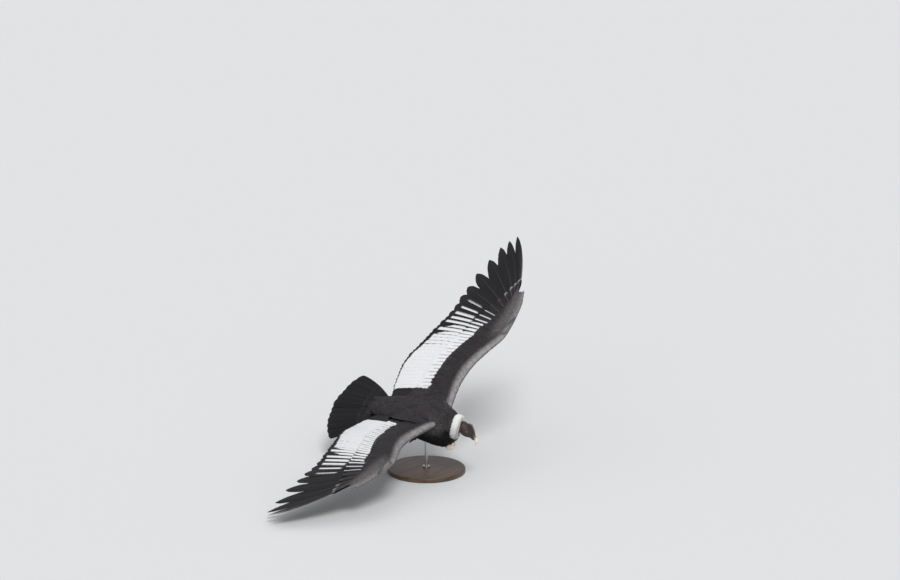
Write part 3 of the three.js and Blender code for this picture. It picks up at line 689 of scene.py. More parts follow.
def smallCoverts(side, draws):
    groups = []
    reachOf = small["upperReach"] if side > 0 else small["lowerReach"]
    fine = np.linspace(-0.12, 2.03, 400)
    runOver = np.linalg.norm(np.diff(wingPoint(fine, 0.05), axis=0), axis=-1).cumsum()
    for row, tipShare in enumerate(small["upperRows"] if side > 0 else small["lowerRows"]):
        width, length = mix(15, 30, tipShare), mix(24, 74, tipShare)
        spacing = 0.66 * width
        places = np.arange(0.5 * (row % 2) * spacing, runOver[-1], spacing)
        station = np.interp(places, np.concatenate([[0], runOver]), fine)
        station = station + draws.normal(0, 0.0025, len(station))
        shrink = np.interp(station, *small["shrink"])
        distance = side * (tipShare * reachOf(station) - length * shrink)
        size = (length * shrink, width * mix(shrink, 1, 0.4))
        top, under, wide, run, s, d = fleshVanes(
            station, distance, *size, side, (-1.2, 2.4 + 1.6 * tipShare), draws
        )
        tone = draws.uniform(0.84, 1.2, len(station))
        look = coatLook(wingCoat(s, d, side), small["shares"], small["columns"], tone)
        bake = patches(wingUnwrap(station, distance), small["shares"], small["columns"])
        vane = np.stack([wide / 1000, run / 1000], -1)
        groups.append(makeVanes(top, under, (look, look * 0.9), vane, bake))
    return groups


median = {
    "length": 96,
    "width": ([0, 1, 1.25, 2], [36, 36, 44, 40]),  # stations and widths
    "upperLift": (2.6, 6.2),
    "lowerLift": (2.4, 5.0),
    "shares": np.concatenate([np.linspace(0, 0.7, 7), np.linspace(0.7, 1, 6)[1:]]),
    "columns": vec(-1, -0.7, -0.35, 0, 0.35, 0.7, 1),
}


def medianCoverts(side, draws):
    station = flightStations[:-1] - 0.02
    station = np.sort(np.concatenate([station, (station[1:] + station[:-1]) / 2]))
    reach = (small["upperReach"] if side > 0 else small["lowerReach"])(station)
    length = median["length"] * np.interp(station, *small["shrink"])
    width = np.interp(station, *median["width"])
    distance = side * (reach - length)
    lift = median["upperLift"] if side > 0 else median["lowerLift"]
    shares, columns = median["shares"], median["columns"]
    top, under, wide, run, s, d = fleshVanes(
        station, distance, length, width, side, lift, draws, shares, columns
    )
    tone = draws.uniform(0.85, 1.18, len(station))
    look = coatLook(wingCoat(s, np.abs(d), side), shares, columns, tone, 1.6)
    bake = patches(wingUnwrap(station, distance), shares, columns, 0.009)
    return makeVanes(top, under, (look, look * 0.9), np.stack([wide / 1000, run / 1000], -1), bake)


alula = {
    "count": 4,
    "half": 11,  # half width
    "outline": ([0, 0.2, 0.75, 0.93, 1], [0.5, 0.95, 1, 0.6, 0.1]),
    "stations": (1.03, 1.43),
    "shorter": 0.07,  # in stations, from one feather to the next behind it
    "apart": 8.5,
    "columns": vec(-1, -0.6, -0.15, 0, 0.15, 0.6, 1),
}


def alulaFeathers(draws):
    # the few stiff feathers of the thumb, along the leading edge of the hand
    share, columns = np.linspace(0, 1, 12), alula["columns"]
    start, end = alula["stations"]
    tops, unders, wides = [], [], []
    for n in range(alula["count"]):
        outline = alula["half"] * np.interp(share, *alula["outline"])
        wide = outline[:, None] * columns
        station = mix(start, end - alula["shorter"] * n, share)[:, None] + 0 * wide
        distance = 9 + alula["apart"] * n + wide
        rise = mix(0.5, 4.6, ramp(share, 0, 0.35))[:, None] + 1.5 * n
        rise = rise - 0.9 * columns**2 + 0.8 * (columns == 0)
        spot, out = fleshSpot(station, distance), fleshNormal(station, distance)
        tops.append(spot + out * rise[..., None])
        unders.append(spot + out * (rise - 0.8)[..., None])
        wides.append(wide)
    top, under, wide = np.array(tops), np.array(unders), np.array(wides)
    tone = draws.uniform(0.9, 1.1, alula["count"])[:, None, None, None]
    look = blendColour(palette["dusk"] * 0.8, palette["silver"], 0.6 * (wide < -6)) * tone
    area = (0.4, 0.93, 0.6, 0.99)
    bake = stripCells(alula["count"], area, 8, columns[None, None] / 2 + 0.5, share[None, :, None])
    # the grid runs outwards along the feather, so its sides are swapped to face out
    top, under, look, vane = (a[:, :, ::-1] for a in (top, under, look, vaneMap(wide, share, 130)))
    return makeVanes(top, under, (look, look), vane, [b[:, :, ::-1] for b in bake])


# tail
tail = {
    "root": (0, 536, -82),
    "length": 420,
    "spread": math.radians(34),
    "halfRoot": 86,
    "droop": math.radians(9.5),
    "roll": math.radians(14.5),
    "yaw": math.radians(3.7),
    "half": 6,  # feathers on each side
    "step": 1.9,
    "rows": [(0, 0.5, 0.55), (0.3, 0.85, 0.9), (0.7, 1, 1), (1, 1, 1)],
    "coverts": [  # side, share of the length at the tips, lift at roots and tips, shift in feathers
        (-1, 0.52, 4.2, 5.8, 0.5),
        (-1, 0.36, 5.0, 7.4, 0),
        (1, 0.42, 4.2, 5.6, 0.5),
        (1, 0.28, 4.4, 7.6, 0),
    ],
}


def turnTail(points):
    x, y, z = points[..., 0], points[..., 1], points[..., 2]
    c, s = math.cos(tail["yaw"]), math.sin(tail["yaw"])
    x, y = x * c - y * s, x * s + y * c
    c, s = math.cos(tail["roll"]), math.sin(tail["roll"])
    x, z = x * c - z * s, x * s + z * c
    c, s = math.cos(tail["droop"]), math.sin(tail["droop"])
    y, z = y * c + z * s, z * c - y * s
    return np.stack([x, y, z], -1) + vec(*tail["root"])


def tailPoint(index, along):
    out = index / tail["half"]
    angle = tail["spread"] * out
    length = tail["length"] * (1 - 0.02 * np.cos(angle * 3) - 0.09 * out**2) * along
    bow = 68 * out * along * (1 - along)
    sag = 12 * along**2 - 16 * out**2 * along
    x = tail["halfRoot"] * out * (1 - 0.5 * along) + length * np.sin(angle) + bow
    return np.stack([x, length * np.cos(angle), sag], -1)


def tailTier(places, share, fromTo, widths, rise, thick, shaft, roundFrom, splits, draws):
    tops, unders, wides, acrosses = [], [], [], []
    for place in places:
        way = 1 if place > 0 else -1
        inner, outer = vaneWidths(tail["rows"], share, roundFrom)
        inner = inner * widths[0] * notches(splits, share, 0.14, draws)
        outer = outer * widths[1] * notches(splits // 2, share, 0.1, draws)
        half = np.minimum(mix(*shaft, share), 0.3 * outer + 0.05)
        wide = spreadVane(inner, outer, half)
        along = mix(*fromTo, share)[:, None] + 0 * wide
        step = tailPoint(abs(place) + 0.5, along) - tailPoint(abs(place) - 0.5, along)
        size = np.linalg.norm(step, axis=-1)
        jitter = draws.normal(0, 1, 3)
        at = abs(place) + (wide + 0.8 * jitter[0] * share[:, None]) / size
        point = tailPoint(np.minimum(at, tail["half"] + 0.2), along + 0.004 * jitter[1] * share[:, None])
        web = np.abs(wide) / np.where(wide < 0, inner[:, None] + 0.5, outer[:, None] + 0.5)
        middle = 2.2 * tail["step"] * (0 < place < 1)
        point[..., 2] += rise(share)[:, None] + tail["step"] * (at - abs(place)) - 1.1 * web**2
        point[..., 2] += shaftRidge * half[:, None] + middle + 1.1 * jitter[2] * share[:, None] ** 3
        low = point.copy()
        low[..., 2] -= np.where(web < 0.98, thick, 0.15) + shaftRidge * half[:, None] * 1.4
        for cloud in (point, low):
            cloud[..., 0] *= way
        if way < 0:
            point, low, wide = point[:, ::-1], low[:, ::-1], -wide[:, ::-1]
            inner, outer = outer, inner
        tops.append(turnTail(point))
        unders.append(turnTail(low))
        wides.append(wide)
        acrosses.append((wide + inner[:, None]) / np.maximum(inner + outer, 1)[:, None])
    return [np.array(x) for x in (tops, unders, wides, acrosses)]


def tailFeathers(draws):
    groups = []
    places = np.arange(tail["half"]) + 0.5
    places = np.concatenate([-places[::-1], places])
    share = flightShares
    top, under, wide, across = tailTier(
        places, share, (0.06, 1), (38, 31), lambda v: 0 * v, 0.7, (2.1, 0.5), 0.93, 5, draws
    )
    tone = draws.uniform(0.85, 1.15, len(places))[:, None, None, None]
    worn = ramp(share, 0.85, 1)[None, :, None] * 0.4 + 0 * wide
    look = blendColour(palette["black"] * 0.85, palette["worn"], worn) * tone
    look = blendColour(look, palette["shaft"] * 0.5, 0.7 * (wide == 0))
    low = palette["under"] * 0.8 * tone + 0 * look
    bake = stripCells(len(places), (0, 0.3, 1, 1), 12, across, share[None, :, None])
    groups.append(makeVanes(top, under, (look, low), vaneMap(wide, share, 350), bake))
    for n, (side, end, low, high, offset) in enumerate(tail["coverts"]):
        places = np.linspace(0.35 + offset, 5.5, 7)
        places = np.concatenate([-places[::-1], places])
        top, under, wide, across = tailTier(
            places, greaterShares, (end - 0.3, end), (26, 24),
            lambda v: side * mix(low, high, np.minimum(1, 2.5 * v)), 0.7, (1.3, 0.4), 0.75, 3, draws
        )
        tone = draws.uniform(0.8, 1.2, len(places))[:, None, None, None]
        fringe = mix(0.9, 1.5, ramp(greaterShares, 0.8, 1))[:, None, None]
        look = palette["black"] * 1.25 * tone * fringe + 0 * top
        bake = stripCells(len(places), (0, 0.07 * n, 1, 0.07 * n + 0.065), 28, across,
                          greaterShares[None, :, None])
        groups.append(makeVanes(top, under, (look, look), vaneMap(wide, greaterShares, 130), bake))
    return groups


# skin
torsoRows = through(
    [
        (0, -48, -98, 44, 44, 46),
        (0.07, -28, -104, 72, 66, 82),
        (0.16, 2, -110, 104, 98, 134),
        (0.28, 56, -110, 125, 118, 152),
        (0.42, 140, -106, 136, 120, 134),
        (0.58, 240, -98, 134, 114, 118),
        (0.74, 350, -88, 120, 98, 96),
        (0.88, 460, -80, 102, 74, 72),
        (0.96, 545, -80, 84, 50, 50),
        (1, 592, -82, 62, 30, 30),
    ]
)
head = {
    "centre": vec(16, -106, -112),
    "bill": unit(vec(0.01, -0.7, -0.71)),
    "crown": unit(vec(0.43, -0.65, 0.62)),
    "scale": 1.02,
    "eye": vec(21, 27.5, 7),
    "eyeRadius": 8.4,
    "mouthZ": -11,
    "billStart": 74,
}
headY = unit(np.cross(head["crown"], head["bill"]))
headAxes = np.array([head["bill"], headY, np.cross(head["bill"], headY)])


def fromHead(points):
    # the head's frame: +x along the bill, +y its left, +z its crown
    return np.asarray(points, float) @ headAxes * head["scale"] + head["centre"]


def toHead(points):
    return (np.asarray(points, float) - head["centre"]) @ headAxes.T / head["scale"]


skullRows = through(
    [
        (-50, 0, 8, 8, 8),
        (-44, 0, 20, 20, 20),
        (-26, 1, 32, 32, 40),
        (0, 1, 35, 35, 44),
        (24, -1, 33, 31, 41),
        (44, -4, 26, 24, 31),
        (60, -5, 17.5, 19, 20),
        (74, -6, 13.5, 18.5, 15.5),
    ]
)
combRows = through(
    [(-14, 1, 3), (0, 14, 5), (16, 25, 6), (34, 30, 6), (52, 27, 5.6), (67, 17, 5), (77, 5, 3)]
)
ruff = {
    "centre": vec(2, -62, -101),
    "axis": unit(vec(0.28, -0.89, -0.36)),
    "radius": 60,
    "half": (12, 18),  # half of its thickness, outwards and along the axis
    "back": 6,  # its middle lies behind the centre
}
ruffUp = -unit(np.cross(xAxis, ruff["axis"]))
ruffSide = np.cross(ruff["axis"], ruffUp)
legs = {
    "thigh": [(66, 236, -190), (72, 262, -198), (74, 300, -200), (70, 350, -196), (64, 392, -188)],
    "thighRadii": [14, 30, 36, 28, 14],
    "heel": vec(62, 402, -186),
    "ankle": vec(52, 524, -158),
    "toes": [(-20, 62), (0, 84), (20, 62)],  # spread in degrees and length
}
crop = {
    "path": [(-18, 62, -242), (-24, 26, -250), (-24, -8, -232)],
    "radii": [(20, 16), (37, 32), (18, 16)],
}


def ovalRing(centre, side, up, wide, top, bottom, count, roundness=2.0):
    angle = np.arange(count) * 2 * math.pi / count
    c, s = [np.sign(x) * np.abs(x) ** (2 / roundness) for x in (np.cos(angle), np.sin(angle))]
    high = np.where(s > 0, top, bottom)
    return centre + np.outer(c * wide, side) + np.outer(s * high, up)


def loft(rings, closed=False):
    # points and faces of a body through rings; its ends are closed unless it runs round
    rings = np.asarray(rings)
    rows, around = rings.shape[:2]
    index = np.arange(rows * around).reshape(rows, around)
    if closed:
        index = np.concatenate([index, index[:1]])
    turned = np.roll(index, -1, axis=1)
    faces = np.stack([index[:-1], turned[:-1], turned[1:], index[1:]], -1).reshape(-1, 4).tolist()
    if not closed:
        faces += [index[0, ::-1].tolist(), index[-1].tolist()]
    return rings.reshape(-1, 3), faces


def tubeRings(path, radii, around, steps=1, upward=(0, 0, 1)):
    # a tube through points; radius, or (half width, half height), at each
    path = np.array(path, float)
    radii = np.array([r if np.ndim(r) else (r, r) for r in radii], float)
    if steps > 1:
        at = np.arange(len(path), dtype=float)
        fine = np.linspace(0, at[-1], (len(path) - 1) * steps + 1)
        both = through(np.column_stack([at, path, radii]))(fine)
        path, radii = both[:, :3], np.maximum(both[:, 3:], 0.2)
    line = unit(np.gradient(path, axis=0))
    side = unit(np.cross(line, vec(*upward)))
    up = np.cross(side, line)
    return [ovalRing(p, s, u, w, h, h, around) for p, s, u, (w, h) in zip(path, side, up, radii)]


def rawObject(name, parts):
    # joins closed bodies of points and faces in one object, still in the bird's frame in metres
    points, faces, start = [], [], 0
    for some, around in parts:
        points.append(np.asarray(some) / 1000)
        faces += [[k + start for k in face] for face in around]
        start += len(some)
    mesh = bpy.data.meshes.new(name)
    mesh.from_pydata(np.concatenate(points).tolist(), [], faces)
    fixed = bmesh.new()
    fixed.from_mesh(mesh)
    bmesh.ops.recalc_face_normals(fixed, faces=fixed.faces)
    fixed.to_mesh(mesh)
    fixed.free()
    thing = bpy.data.objects.new(name, mesh)
    bpy.context.scene.collection.objects.link(thing)
    return thing


def applyModifier(thing, kind, **settings):
    bpy.ops.object.select_all(action="DESELECT")
    bpy.context.view_layer.objects.active = thing
    thing.select_set(True)
    modifier = thing.modifiers.new(kind, kind)
    for key, value in settings.items():
        setattr(modifier, key, value)
    bpy.ops.object.modifier_apply(modifier=modifier.name)


def meshArrays(mesh):
    points = np.zeros(len(mesh.vertices) * 3)
    mesh.vertices.foreach_get("co", points)
    return points.reshape(-1, 3)


skin = {
    "bodyVoxel": 0.0068,
    "headVoxel": 0.0016,
    "legVoxel": 0.0021,
    "underCoat": 8.0,  # depth of the body's coat over the skin, millimetres
    "headBase": vec(0.037, 0.021, 0.018),
    "neckBase": vec(0.03, 0.018, 0.016),
    "comb": vec(0.036, 0.027, 0.027),
    # the pale top edge of the comb is a painted highlight
    "combRimHighlight": vec(0.42, 0.35, 0.32),
    "lid": vec(0.085, 0.05, 0.042),
    "crop": vec(0.88, 0.76, 0.62),
    "cere": vec(0.06, 0.045, 0.04),
    "leg": vec(0.2, 0.185, 0.165),
    "claw": vec(0.03, 0.027, 0.025),
    "inset": 0.8,  # of the body's skin under its feathers
}


def mirrorX(points):
    return np.asarray(points, float) * vec(-1, 1, 1)


def bodyParts():
    inset = skin["underCoat"]
    rings = []
    for t in np.linspace(0, 1, 46):
        y, z, wide, top, bottom = torsoRows(t)
        rings.append(ovalRing(vec(0, y + (6 if t == 0 else 0), z), xAxis, zAxis, wide - inset,
                              top - inset, bottom - inset, 56, 2.2))
    parts = [loft(rings)]
    depths = vec(0.02, 0.06, 0.12, 0.22, 0.36, 0.52, 0.7, 0.86, 1)
    station = np.linspace(-0.11, 2.015, 70)[:, None]
    ring = np.concatenate(
        [wing["leadingEdge"](station), fleshPoint(station, depths[None], 1),
         fleshPoint(station, depths[None, ::-1], -1)], 1
    )
    for side in (1, -1):
        parts.append(loft(turnWing(ring, side)))
    thigh = tubeRings(legs["thigh"], [r - 6 if r > 20 else r - 2 for r in legs["thighRadii"]], 28, 5)
    parts += [loft(thigh), loft(mirrorX(thigh))]
    root = [
        turnTail(ovalRing(vec(0, y, 0), xAxis, zAxis, wide - 3, deep - 1, deep - 1, 32, 2.8))
        for y, wide, deep in [(-20, 78, 24), (8, 80, 22), (45, 78, 20), (80, 84, 12), (104, 90, 7.4)]
    ]
    parts.append(loft(root))
    axis, centre = ruff["axis"], ruff["centre"]
    stub = tubeRings([centre - 60 * axis, centre - 30 * axis, centre - 4 * axis], [54, 56, 50], 40, 3)
    parts.append(loft(stub))
    hoop = []
    thick, deep = ruff["half"]
    for angle in np.linspace(0, 2 * math.pi, 60, endpoint=False):
        out = math.cos(angle) * ruffSide + math.sin(angle) * ruffUp
        middle = centre + out * ruff["radius"] - ruff["back"] * axis
        hoop.append(ovalRing(middle, out, axis, thick, deep, deep, 16))
    parts.append(loft(hoop, closed=True))
    return parts


def loopParts(centre, radius, thick, tall=1.0, tilt=0.0):
    rings = []
    for angle in np.linspace(0, 2 * math.pi, 40, endpoint=False):
        out = vec(math.cos(angle), 0, math.sin(angle) * tall)
        spot = centre + out * radius + vec(0, tilt * math.cos(angle), 0)
        rings.append(ovalRing(spot, unit(out), yAxis, thick, thick, thick, 10))
    return loft(rings, closed=True)


def skullCrown(x):
    z, wide, top, bottom = skullRows(min(x, head["billStart"]))
    return z + top


def placed(part):
    return fromHead(part[0]), part[1]


def headCore():
    places = np.concatenate([[-50, -48], np.linspace(-44, 74, 60)])
    rings = []
    for x in places:
        z, wide, top, bottom = skullRows(x)
        rings.append(ovalRing(vec(x, 0, z), yAxis, zAxis, wide, top, bottom, 64))
    core = rawObject("skull", [placed(loft(rings))])
    cutters = []
    for side in (-1, 1):
        spot = head["eye"] * vec(1, side, 1)
        ball = [
            ovalRing(spot + vec(0, 0, (head["eyeRadius"] + 0.3) * math.cos(a)), xAxis, yAxis,
                     *[(head["eyeRadius"] + 0.3) * math.sin(a)] * 3, 32)
            for a in np.linspace(0.05, math.pi - 0.05, 18)
        ]
        ear = [
            ovalRing(vec(-14, side * 34, -6) + vec(0, 0, 5.0 * math.cos(a)), xAxis, yAxis,
                     *[5.0 * math.sin(a)] * 3, 20)
            for a in np.linspace(0.05, math.pi - 0.05, 12)
        ]
        cutters += [placed(loft(ball)), placed(loft(ear))]
    nostril = [ovalRing(vec(62, y, 2), xAxis, zAxis, 5.4, 2.8, 2.8, 20) for y in (-30, 30)]
    cutters.append(placed(loft(nostril)))
    mouth = [
        ovalRing(vec(x, 0, head["mouthZ"]), yAxis, zAxis, 40, t, t, 12, 5)
        for x, t in [(42, 0.5), (52, 1.1), (90, 1.3)]
    ]
    cutters.append(placed(loft(mouth)))
    cutter = rawObject("cutter", cutters)
    applyModifier(core, "BOOLEAN", object=cutter, operation="DIFFERENCE", solver="EXACT", use_self=True)
    bpy.data.objects.remove(cutter)
    return core


def headParts():
    parts = []
    for side in (-1, 1):
        eye = head["eye"] * vec(1, side, 1)
        parts.append(placed(loopParts(eye + vec(0, side * 2.6, 0), head["eyeRadius"] + 0.7, 2.1, 0.86)))
        parts.append(placed(loopParts(eye + vec(1, side * 0.6, 0), head["eyeRadius"] + 4.4, 1.7, 0.84)))
        parts.append(placed(loopParts(vec(-14, side * 31.5, -6), 5.6, 1.7, 1.15)))
        brow = [(eye[0] - 14, side * 27, 15), (eye[0], side * 29.5, 18.5), (eye[0] + 17, side * 24, 13)]
        parts.append(placed(loft(tubeRings(brow, [1.5, 3.2, 1.2], 12, 6))))
        jaw = [(-24, side * 26, -24), (4, side * 29, -25), (34, side * 24, -19), (56, side * 15, -14)]
        parts.append(placed(loft(tubeRings(jaw, [3, 5, 4.4, 2], 14, 6))))
        cere = [(56, side * 13.5, 9), (66, side * 11.5, 8), (75, side * 10, 8)]
        parts.append(placed(loft(tubeRings(cere, [3.2, 3.4, 2.2], 12, 5))))
    rings = []
    for t in np.linspace(0, 1, 34):  # the fold of skin that hangs under the jaw
        drop = 3 + 21 * math.sin(math.pi * t) ** 0.8 + 2.2 * math.sin(17 * t) * math.sin(math.pi * t)
        centre = vec(mix(52, -22, t), 1.4 * math.sin(9 * t), mix(-20, -25, t))
        wide = 3.2 + math.sin(math.pi * t)
        rings.append(ovalRing(centre, yAxis, zAxis, wide, 3, drop, 22, 2.2))
    parts.append(placed(loft(rings)))
    rings = []
    for x in np.linspace(-14, 77, 74):
        rise, thick = combRows(x)
        lobes = 1.3 * math.sin(0.34 * x + 0.6) + 0.7 * math.sin(0.83 * x)
        rise = rise + lobes * min(1, max(rise, 0) / 12)
        lean = 1.6 * math.sin(0.11 * x)
        ring = ovalRing(vec(x, lean, skullCrown(x)), yAxis, zAxis, thick, rise, 9, 26, 2.5)
        rings.append(ring)
    parts.append(placed(loft(rings)))
    start = ruff["centre"] - 40 * ruff["axis"]
    throat = fromHead(vec(-8, 0, -33))
    folds = through([(0, 50), (0.2, 52), (0.4, 55), (0.6, 52), (0.8, 53.5), (1, 46)])
    path, radii = [], []
    for t in np.linspace(0, 1, 70):
        path.append(start + (throat - start) * t)
        crease = abs(math.sin(7.5 * math.pi * t)) ** 0.6
        radii.append(float(folds(t)[0]) - 3.2 * (1 - crease))
    parts.append(loft(tubeRings(path, radii, 72)))
    parts.append(loft(tubeRings(crop["path"], crop["radii"], 40, 10)))
    return parts


def toeLine(angle, length):
    # gives the point at a share of a toe's length, raised by some millimetres
    way = vec(math.sin(math.radians(angle)), math.cos(math.radians(angle)), 0)
    return lambda share, rise: legs["ankle"] + vec(0, 8, 1) + way * length * share + vec(0, 0, rise)


def legParts():
    parts = []
    heel, ankle = legs["heel"], legs["ankle"]
    joint = [heel + vec(0, -14, 3), heel, heel + vec(0, 14, 3)]
    for flip in (lambda p: np.asarray(p, float), mirrorX):
        shank = tubeRings([heel, (heel + ankle) / 2, ankle], [11, 8.5, 9], 24, 6)
        soleLine = [ankle - vec(0, 6, 0), ankle + vec(0, 8, 1), ankle + vec(0, 17, 1)]
        sole = tubeRings(soleLine, [8.6, 12, 9], 24, 4)
        parts += [loft(flip(r)) for r in (shank, sole, tubeRings(joint, [8, 12.5, 10], 24, 4))]
        start = ankle + vec(0, 8, 1)
        for angle, length in legs["toes"]:
            at = toeLine(angle, length)
            rings = tubeRings([at(0, 0), at(0.4, 3), at(1, -9)], [7.5, 6.8, 5], 20, 8)
            for k, ring in enumerate(rings):  # pads under the joints
                middle = ring.mean(0)
                swell = 1 + 0.13 * math.cos(k * math.pi / 2.6)
                rings[k] = middle + (ring - middle) * swell
            parts.append(loft(flip(rings)))
        hind = [start, start + vec(0, -15, -8), start + vec(0, -21, -14)]
        parts.append(loft(flip(tubeRings(hind, [6, 5, 4], 18, 4))))
    return parts


def remeshed(thing, voxel, smoothing):
    applyModifier(thing, "REMESH", mode="VOXEL", voxel_size=voxel, use_smooth_shade=True)
    applyModifier(thing, "SMOOTH", factor=0.5, iterations=smoothing)
    points = meshArrays(thing.data) * 1000
    corners = np.zeros(len(thing.data.loops), np.int32)
    thing.data.loops.foreach_get("vertex_index", corners)
    normals = np.zeros(len(points) * 3)
    thing.data.vertex_normals.foreach_get("vector", normals)
    bpy.data.objects.remove(thing)
    return points, corners.reshape(-1, 4), normals.reshape(-1, 3)


def wobble(points, size, seed=0.0):
    # smooth noise from -1 to 1 at points in millimetres, with features of this size
    return np.array([noise.noise(Vector(p / size + seed)) for p in points])


# the lie of the wing's flesh, for the skin's markings
sampleStations = np.linspace(-0.1, 2.02, 130)
sampleDistances = np.linspace(-250, 250, 84)
fleshGrid = np.stack(np.meshgrid(sampleStations, sampleDistances, indexing="ij"), -1).reshape(-1, 2)
fleshSamples = fleshSpot(fleshGrid[:, 0], fleshGrid[:, 1])


def nearestFlesh(points):
    # station and distance over the wing's flesh nearest to points, and how far off the flesh is
    tree = KDTree(2 * len(fleshSamples))
    for side in (1, -1):
        for k, p in enumerate(turnWing(fleshSamples, side)):
            tree.insert(p, k + (0 if side > 0 else len(fleshSamples)))
    tree.balance()
    found = [tree.find(p) for p in points]
    index = np.array([f[1] for f in found])
    return fleshGrid[index % len(fleshSamples)], np.array([f[2] for f in found])


bodySkin = remeshed(rawObject("bodyCore", bodyParts()), skin["bodyVoxel"], 7)
print("body skin", len(bodySkin[1]), "faces")
skull = headCore()
rest = rawObject("headRest", headParts())
bpy.ops.object.select_all(action="DESELECT")
for thing in (skull, rest):
    thing.select_set(True)
bpy.context.view_layer.objects.active = skull
bpy.ops.object.join()
headSkin = remeshed(skull, skin["headVoxel"], 3)
print("head skin", len(headSkin[1]), "faces")
legSkin = remeshed(rawObject("legs", legParts()), skin["legVoxel"], 3)
print("leg skin", len(legSkin[1]), "faces")


def cropDistance(points):
    path = np.array(crop["path"], float)
    steps = np.linspace(0, 1, 6)[:, None]
    fine = np.concatenate([a + (b - a) * steps for a, b in zip(path, path[1:])])
    return np.min(np.linalg.norm(points[:, None] - fine[None], axis=-1), axis=1)


def aroundRuff(points):
    # distances ahead of the ruff's centre along its axis, and out from the axis
    ahead = (points - ruff["centre"]) @ ruff["axis"]
    return ahead, np.linalg.norm(points - ruff["centre"] - ahead[:, None] * ruff["axis"], axis=1)


def skinColours(points, normals):
    # markings of the head, neck and crop, for points in the bird's frame
    p = toHead(points)
    x, y, z = p[:, 0], p[:, 1], p[:, 2]
    colour = np.repeat(skin["headBase"][None], len(p), 0)
    mottle = wobble(points, 9, 3.0)
    colour = colour * (1 + 0.28 * mottle)[:, None]
    neck = ramp(x, -16, -40)
    colour = blendColour(colour, skin["neckBase"] * (1 + 0.2 * mottle)[:, None], neck)
    crown = np.array([skullCrown(v) for v in np.clip(x, -44, 74)])
    above = z - crown
    rise = np.maximum(combRows(np.clip(x, -14, 77))[:, 0], 1)
    comb = ramp(above, -1, 3) * (x > -15) * (x < 79) * (np.abs(y) < 9)
    colour = blendColour(colour, skin["comb"] * (1 + 0.3 * mottle)[:, None], comb)
    # painted highlight: the comb's top edge is made pale where sunlight rims it
    rim = comb * ramp(above / rise, 0.62, 0.97) * (rise > 6)
    colour = blendColour(colour, skin["combRimHighlight"], 0.85 * rim)
    eye = np.stack([x, np.abs(y), z], -1) - head["eye"]
    lid = ramp(np.linalg.norm(eye, axis=1), 15, 10)
    colour = blendColour(colour, skin["lid"], 0.7 * lid)
    cere = ramp(x, 58, 66) * ramp(above, 4, 0)
    colour = blendColour(colour, skin["cere"], 0.6 * cere)
    full = ramp(cropDistance(points), 47, 38) * ramp(points[:, 2], -195, -212)
    return blendColour(colour, skin["crop"] * (1 + 0.1 * mottle)[:, None], full)


def legColours(points, normals):
    return skin["leg"] * (1 + 0.25 * wobble(points, 5, 8.0))[:, None]


def bodyColours(points, normals):
    spot, off = nearestFlesh(points)
    coat = np.where(
        (spot[:, 1] >= 0)[:, None],
        wingCoat(spot[:, 0], spot[:, 1], 1),
        wingCoat(spot[:, 0], spot[:, 1], -1),
    )
    body = bodyCoat(points, normals) * 0.4  # between the feathers it lies in their shade
    ahead, radial = aroundRuff(points)
    body = blendColour(body, palette["down"], ramp(ahead, -30, -22) * (radial > 40) * (radial < 76))
    return blendColour(body, coat, (off < 6) & (spot[:, 0] > 0.05))


def bodyCoat(points, normals):
    # colours of the body's contour feathers, with painted light: painted shade makes the sides that face down
    # as dark as the breast, and a painted highlight lightens the shoulders where they face up
    up = ramp(normals[:, 2], -0.15, 0.35)
    # painted shade: the colour runs from the back's to the darker breast's as the surface turns to face down
    colour = blendColour(np.repeat(palette["breast"][None], len(points), 0), palette["back"], up)
    x, y, z = points[:, 0], points[:, 1], points[:, 2]
    # painted highlight on the shoulders, strongest where they face up
    shoulder = ramp(np.abs(x), 30, 110) * ramp(y, 110, 10) * up
    return blendColour(colour, palette["silver"] * 0.8, 0.16 * shoulder)


def boxUnwrap(points, normals, faces, tiles):
    # corner places on a map of six views, one for each side that faces point to
    centre, size, area = tiles
    facing = normals[faces].mean(1)
    axis = np.abs(facing).argmax(1)
    way = np.take_along_axis(facing, axis[:, None], 1)[:, 0] > 0
    local = (points - centre) / size + 0.5
    places = np.zeros((len(faces), 4, 2))
    left, low, right, high = area
    cell = vec((right - left) / 3, (high - low) / 2)
    for a in range(3):
        keep = [k for k in range(3) if k != a]
        chosen = axis == a
        inside = np.clip(local[faces[chosen]][:, :, keep], 0.01, 0.99)
        corner = vec(left, low) + cell * np.stack([np.full(chosen.sum(), a), way[chosen]], -1)
        places[chosen] = corner[:, None] + inside * cell
    return places


# body coat: contour feathers draped over the skin
def scatterRoots(points, allowed, spacingOf, draws):
    # picks points no closer than their spacing, in random order
    cell = 12.0
    buckets, chosen = {}, []
    for k in draws.permutation(np.flatnonzero(allowed)):
        place, reach = points[k], spacingOf[k]
        a, b, c = (int(v) for v in place // cell)
        span = int(reach // cell) + 1
        steps = itertools.product(range(-span, span + 1), repeat=3)
        near = (q for i, j, m in steps for q in buckets.get((a + i, b + j, c + m), ()))
        if all(((q - place) ** 2).sum() >= reach * reach for q in near):
            chosen.append(k)
            buckets.setdefault((a, b, c), []).append(place)
    return np.array(chosen)


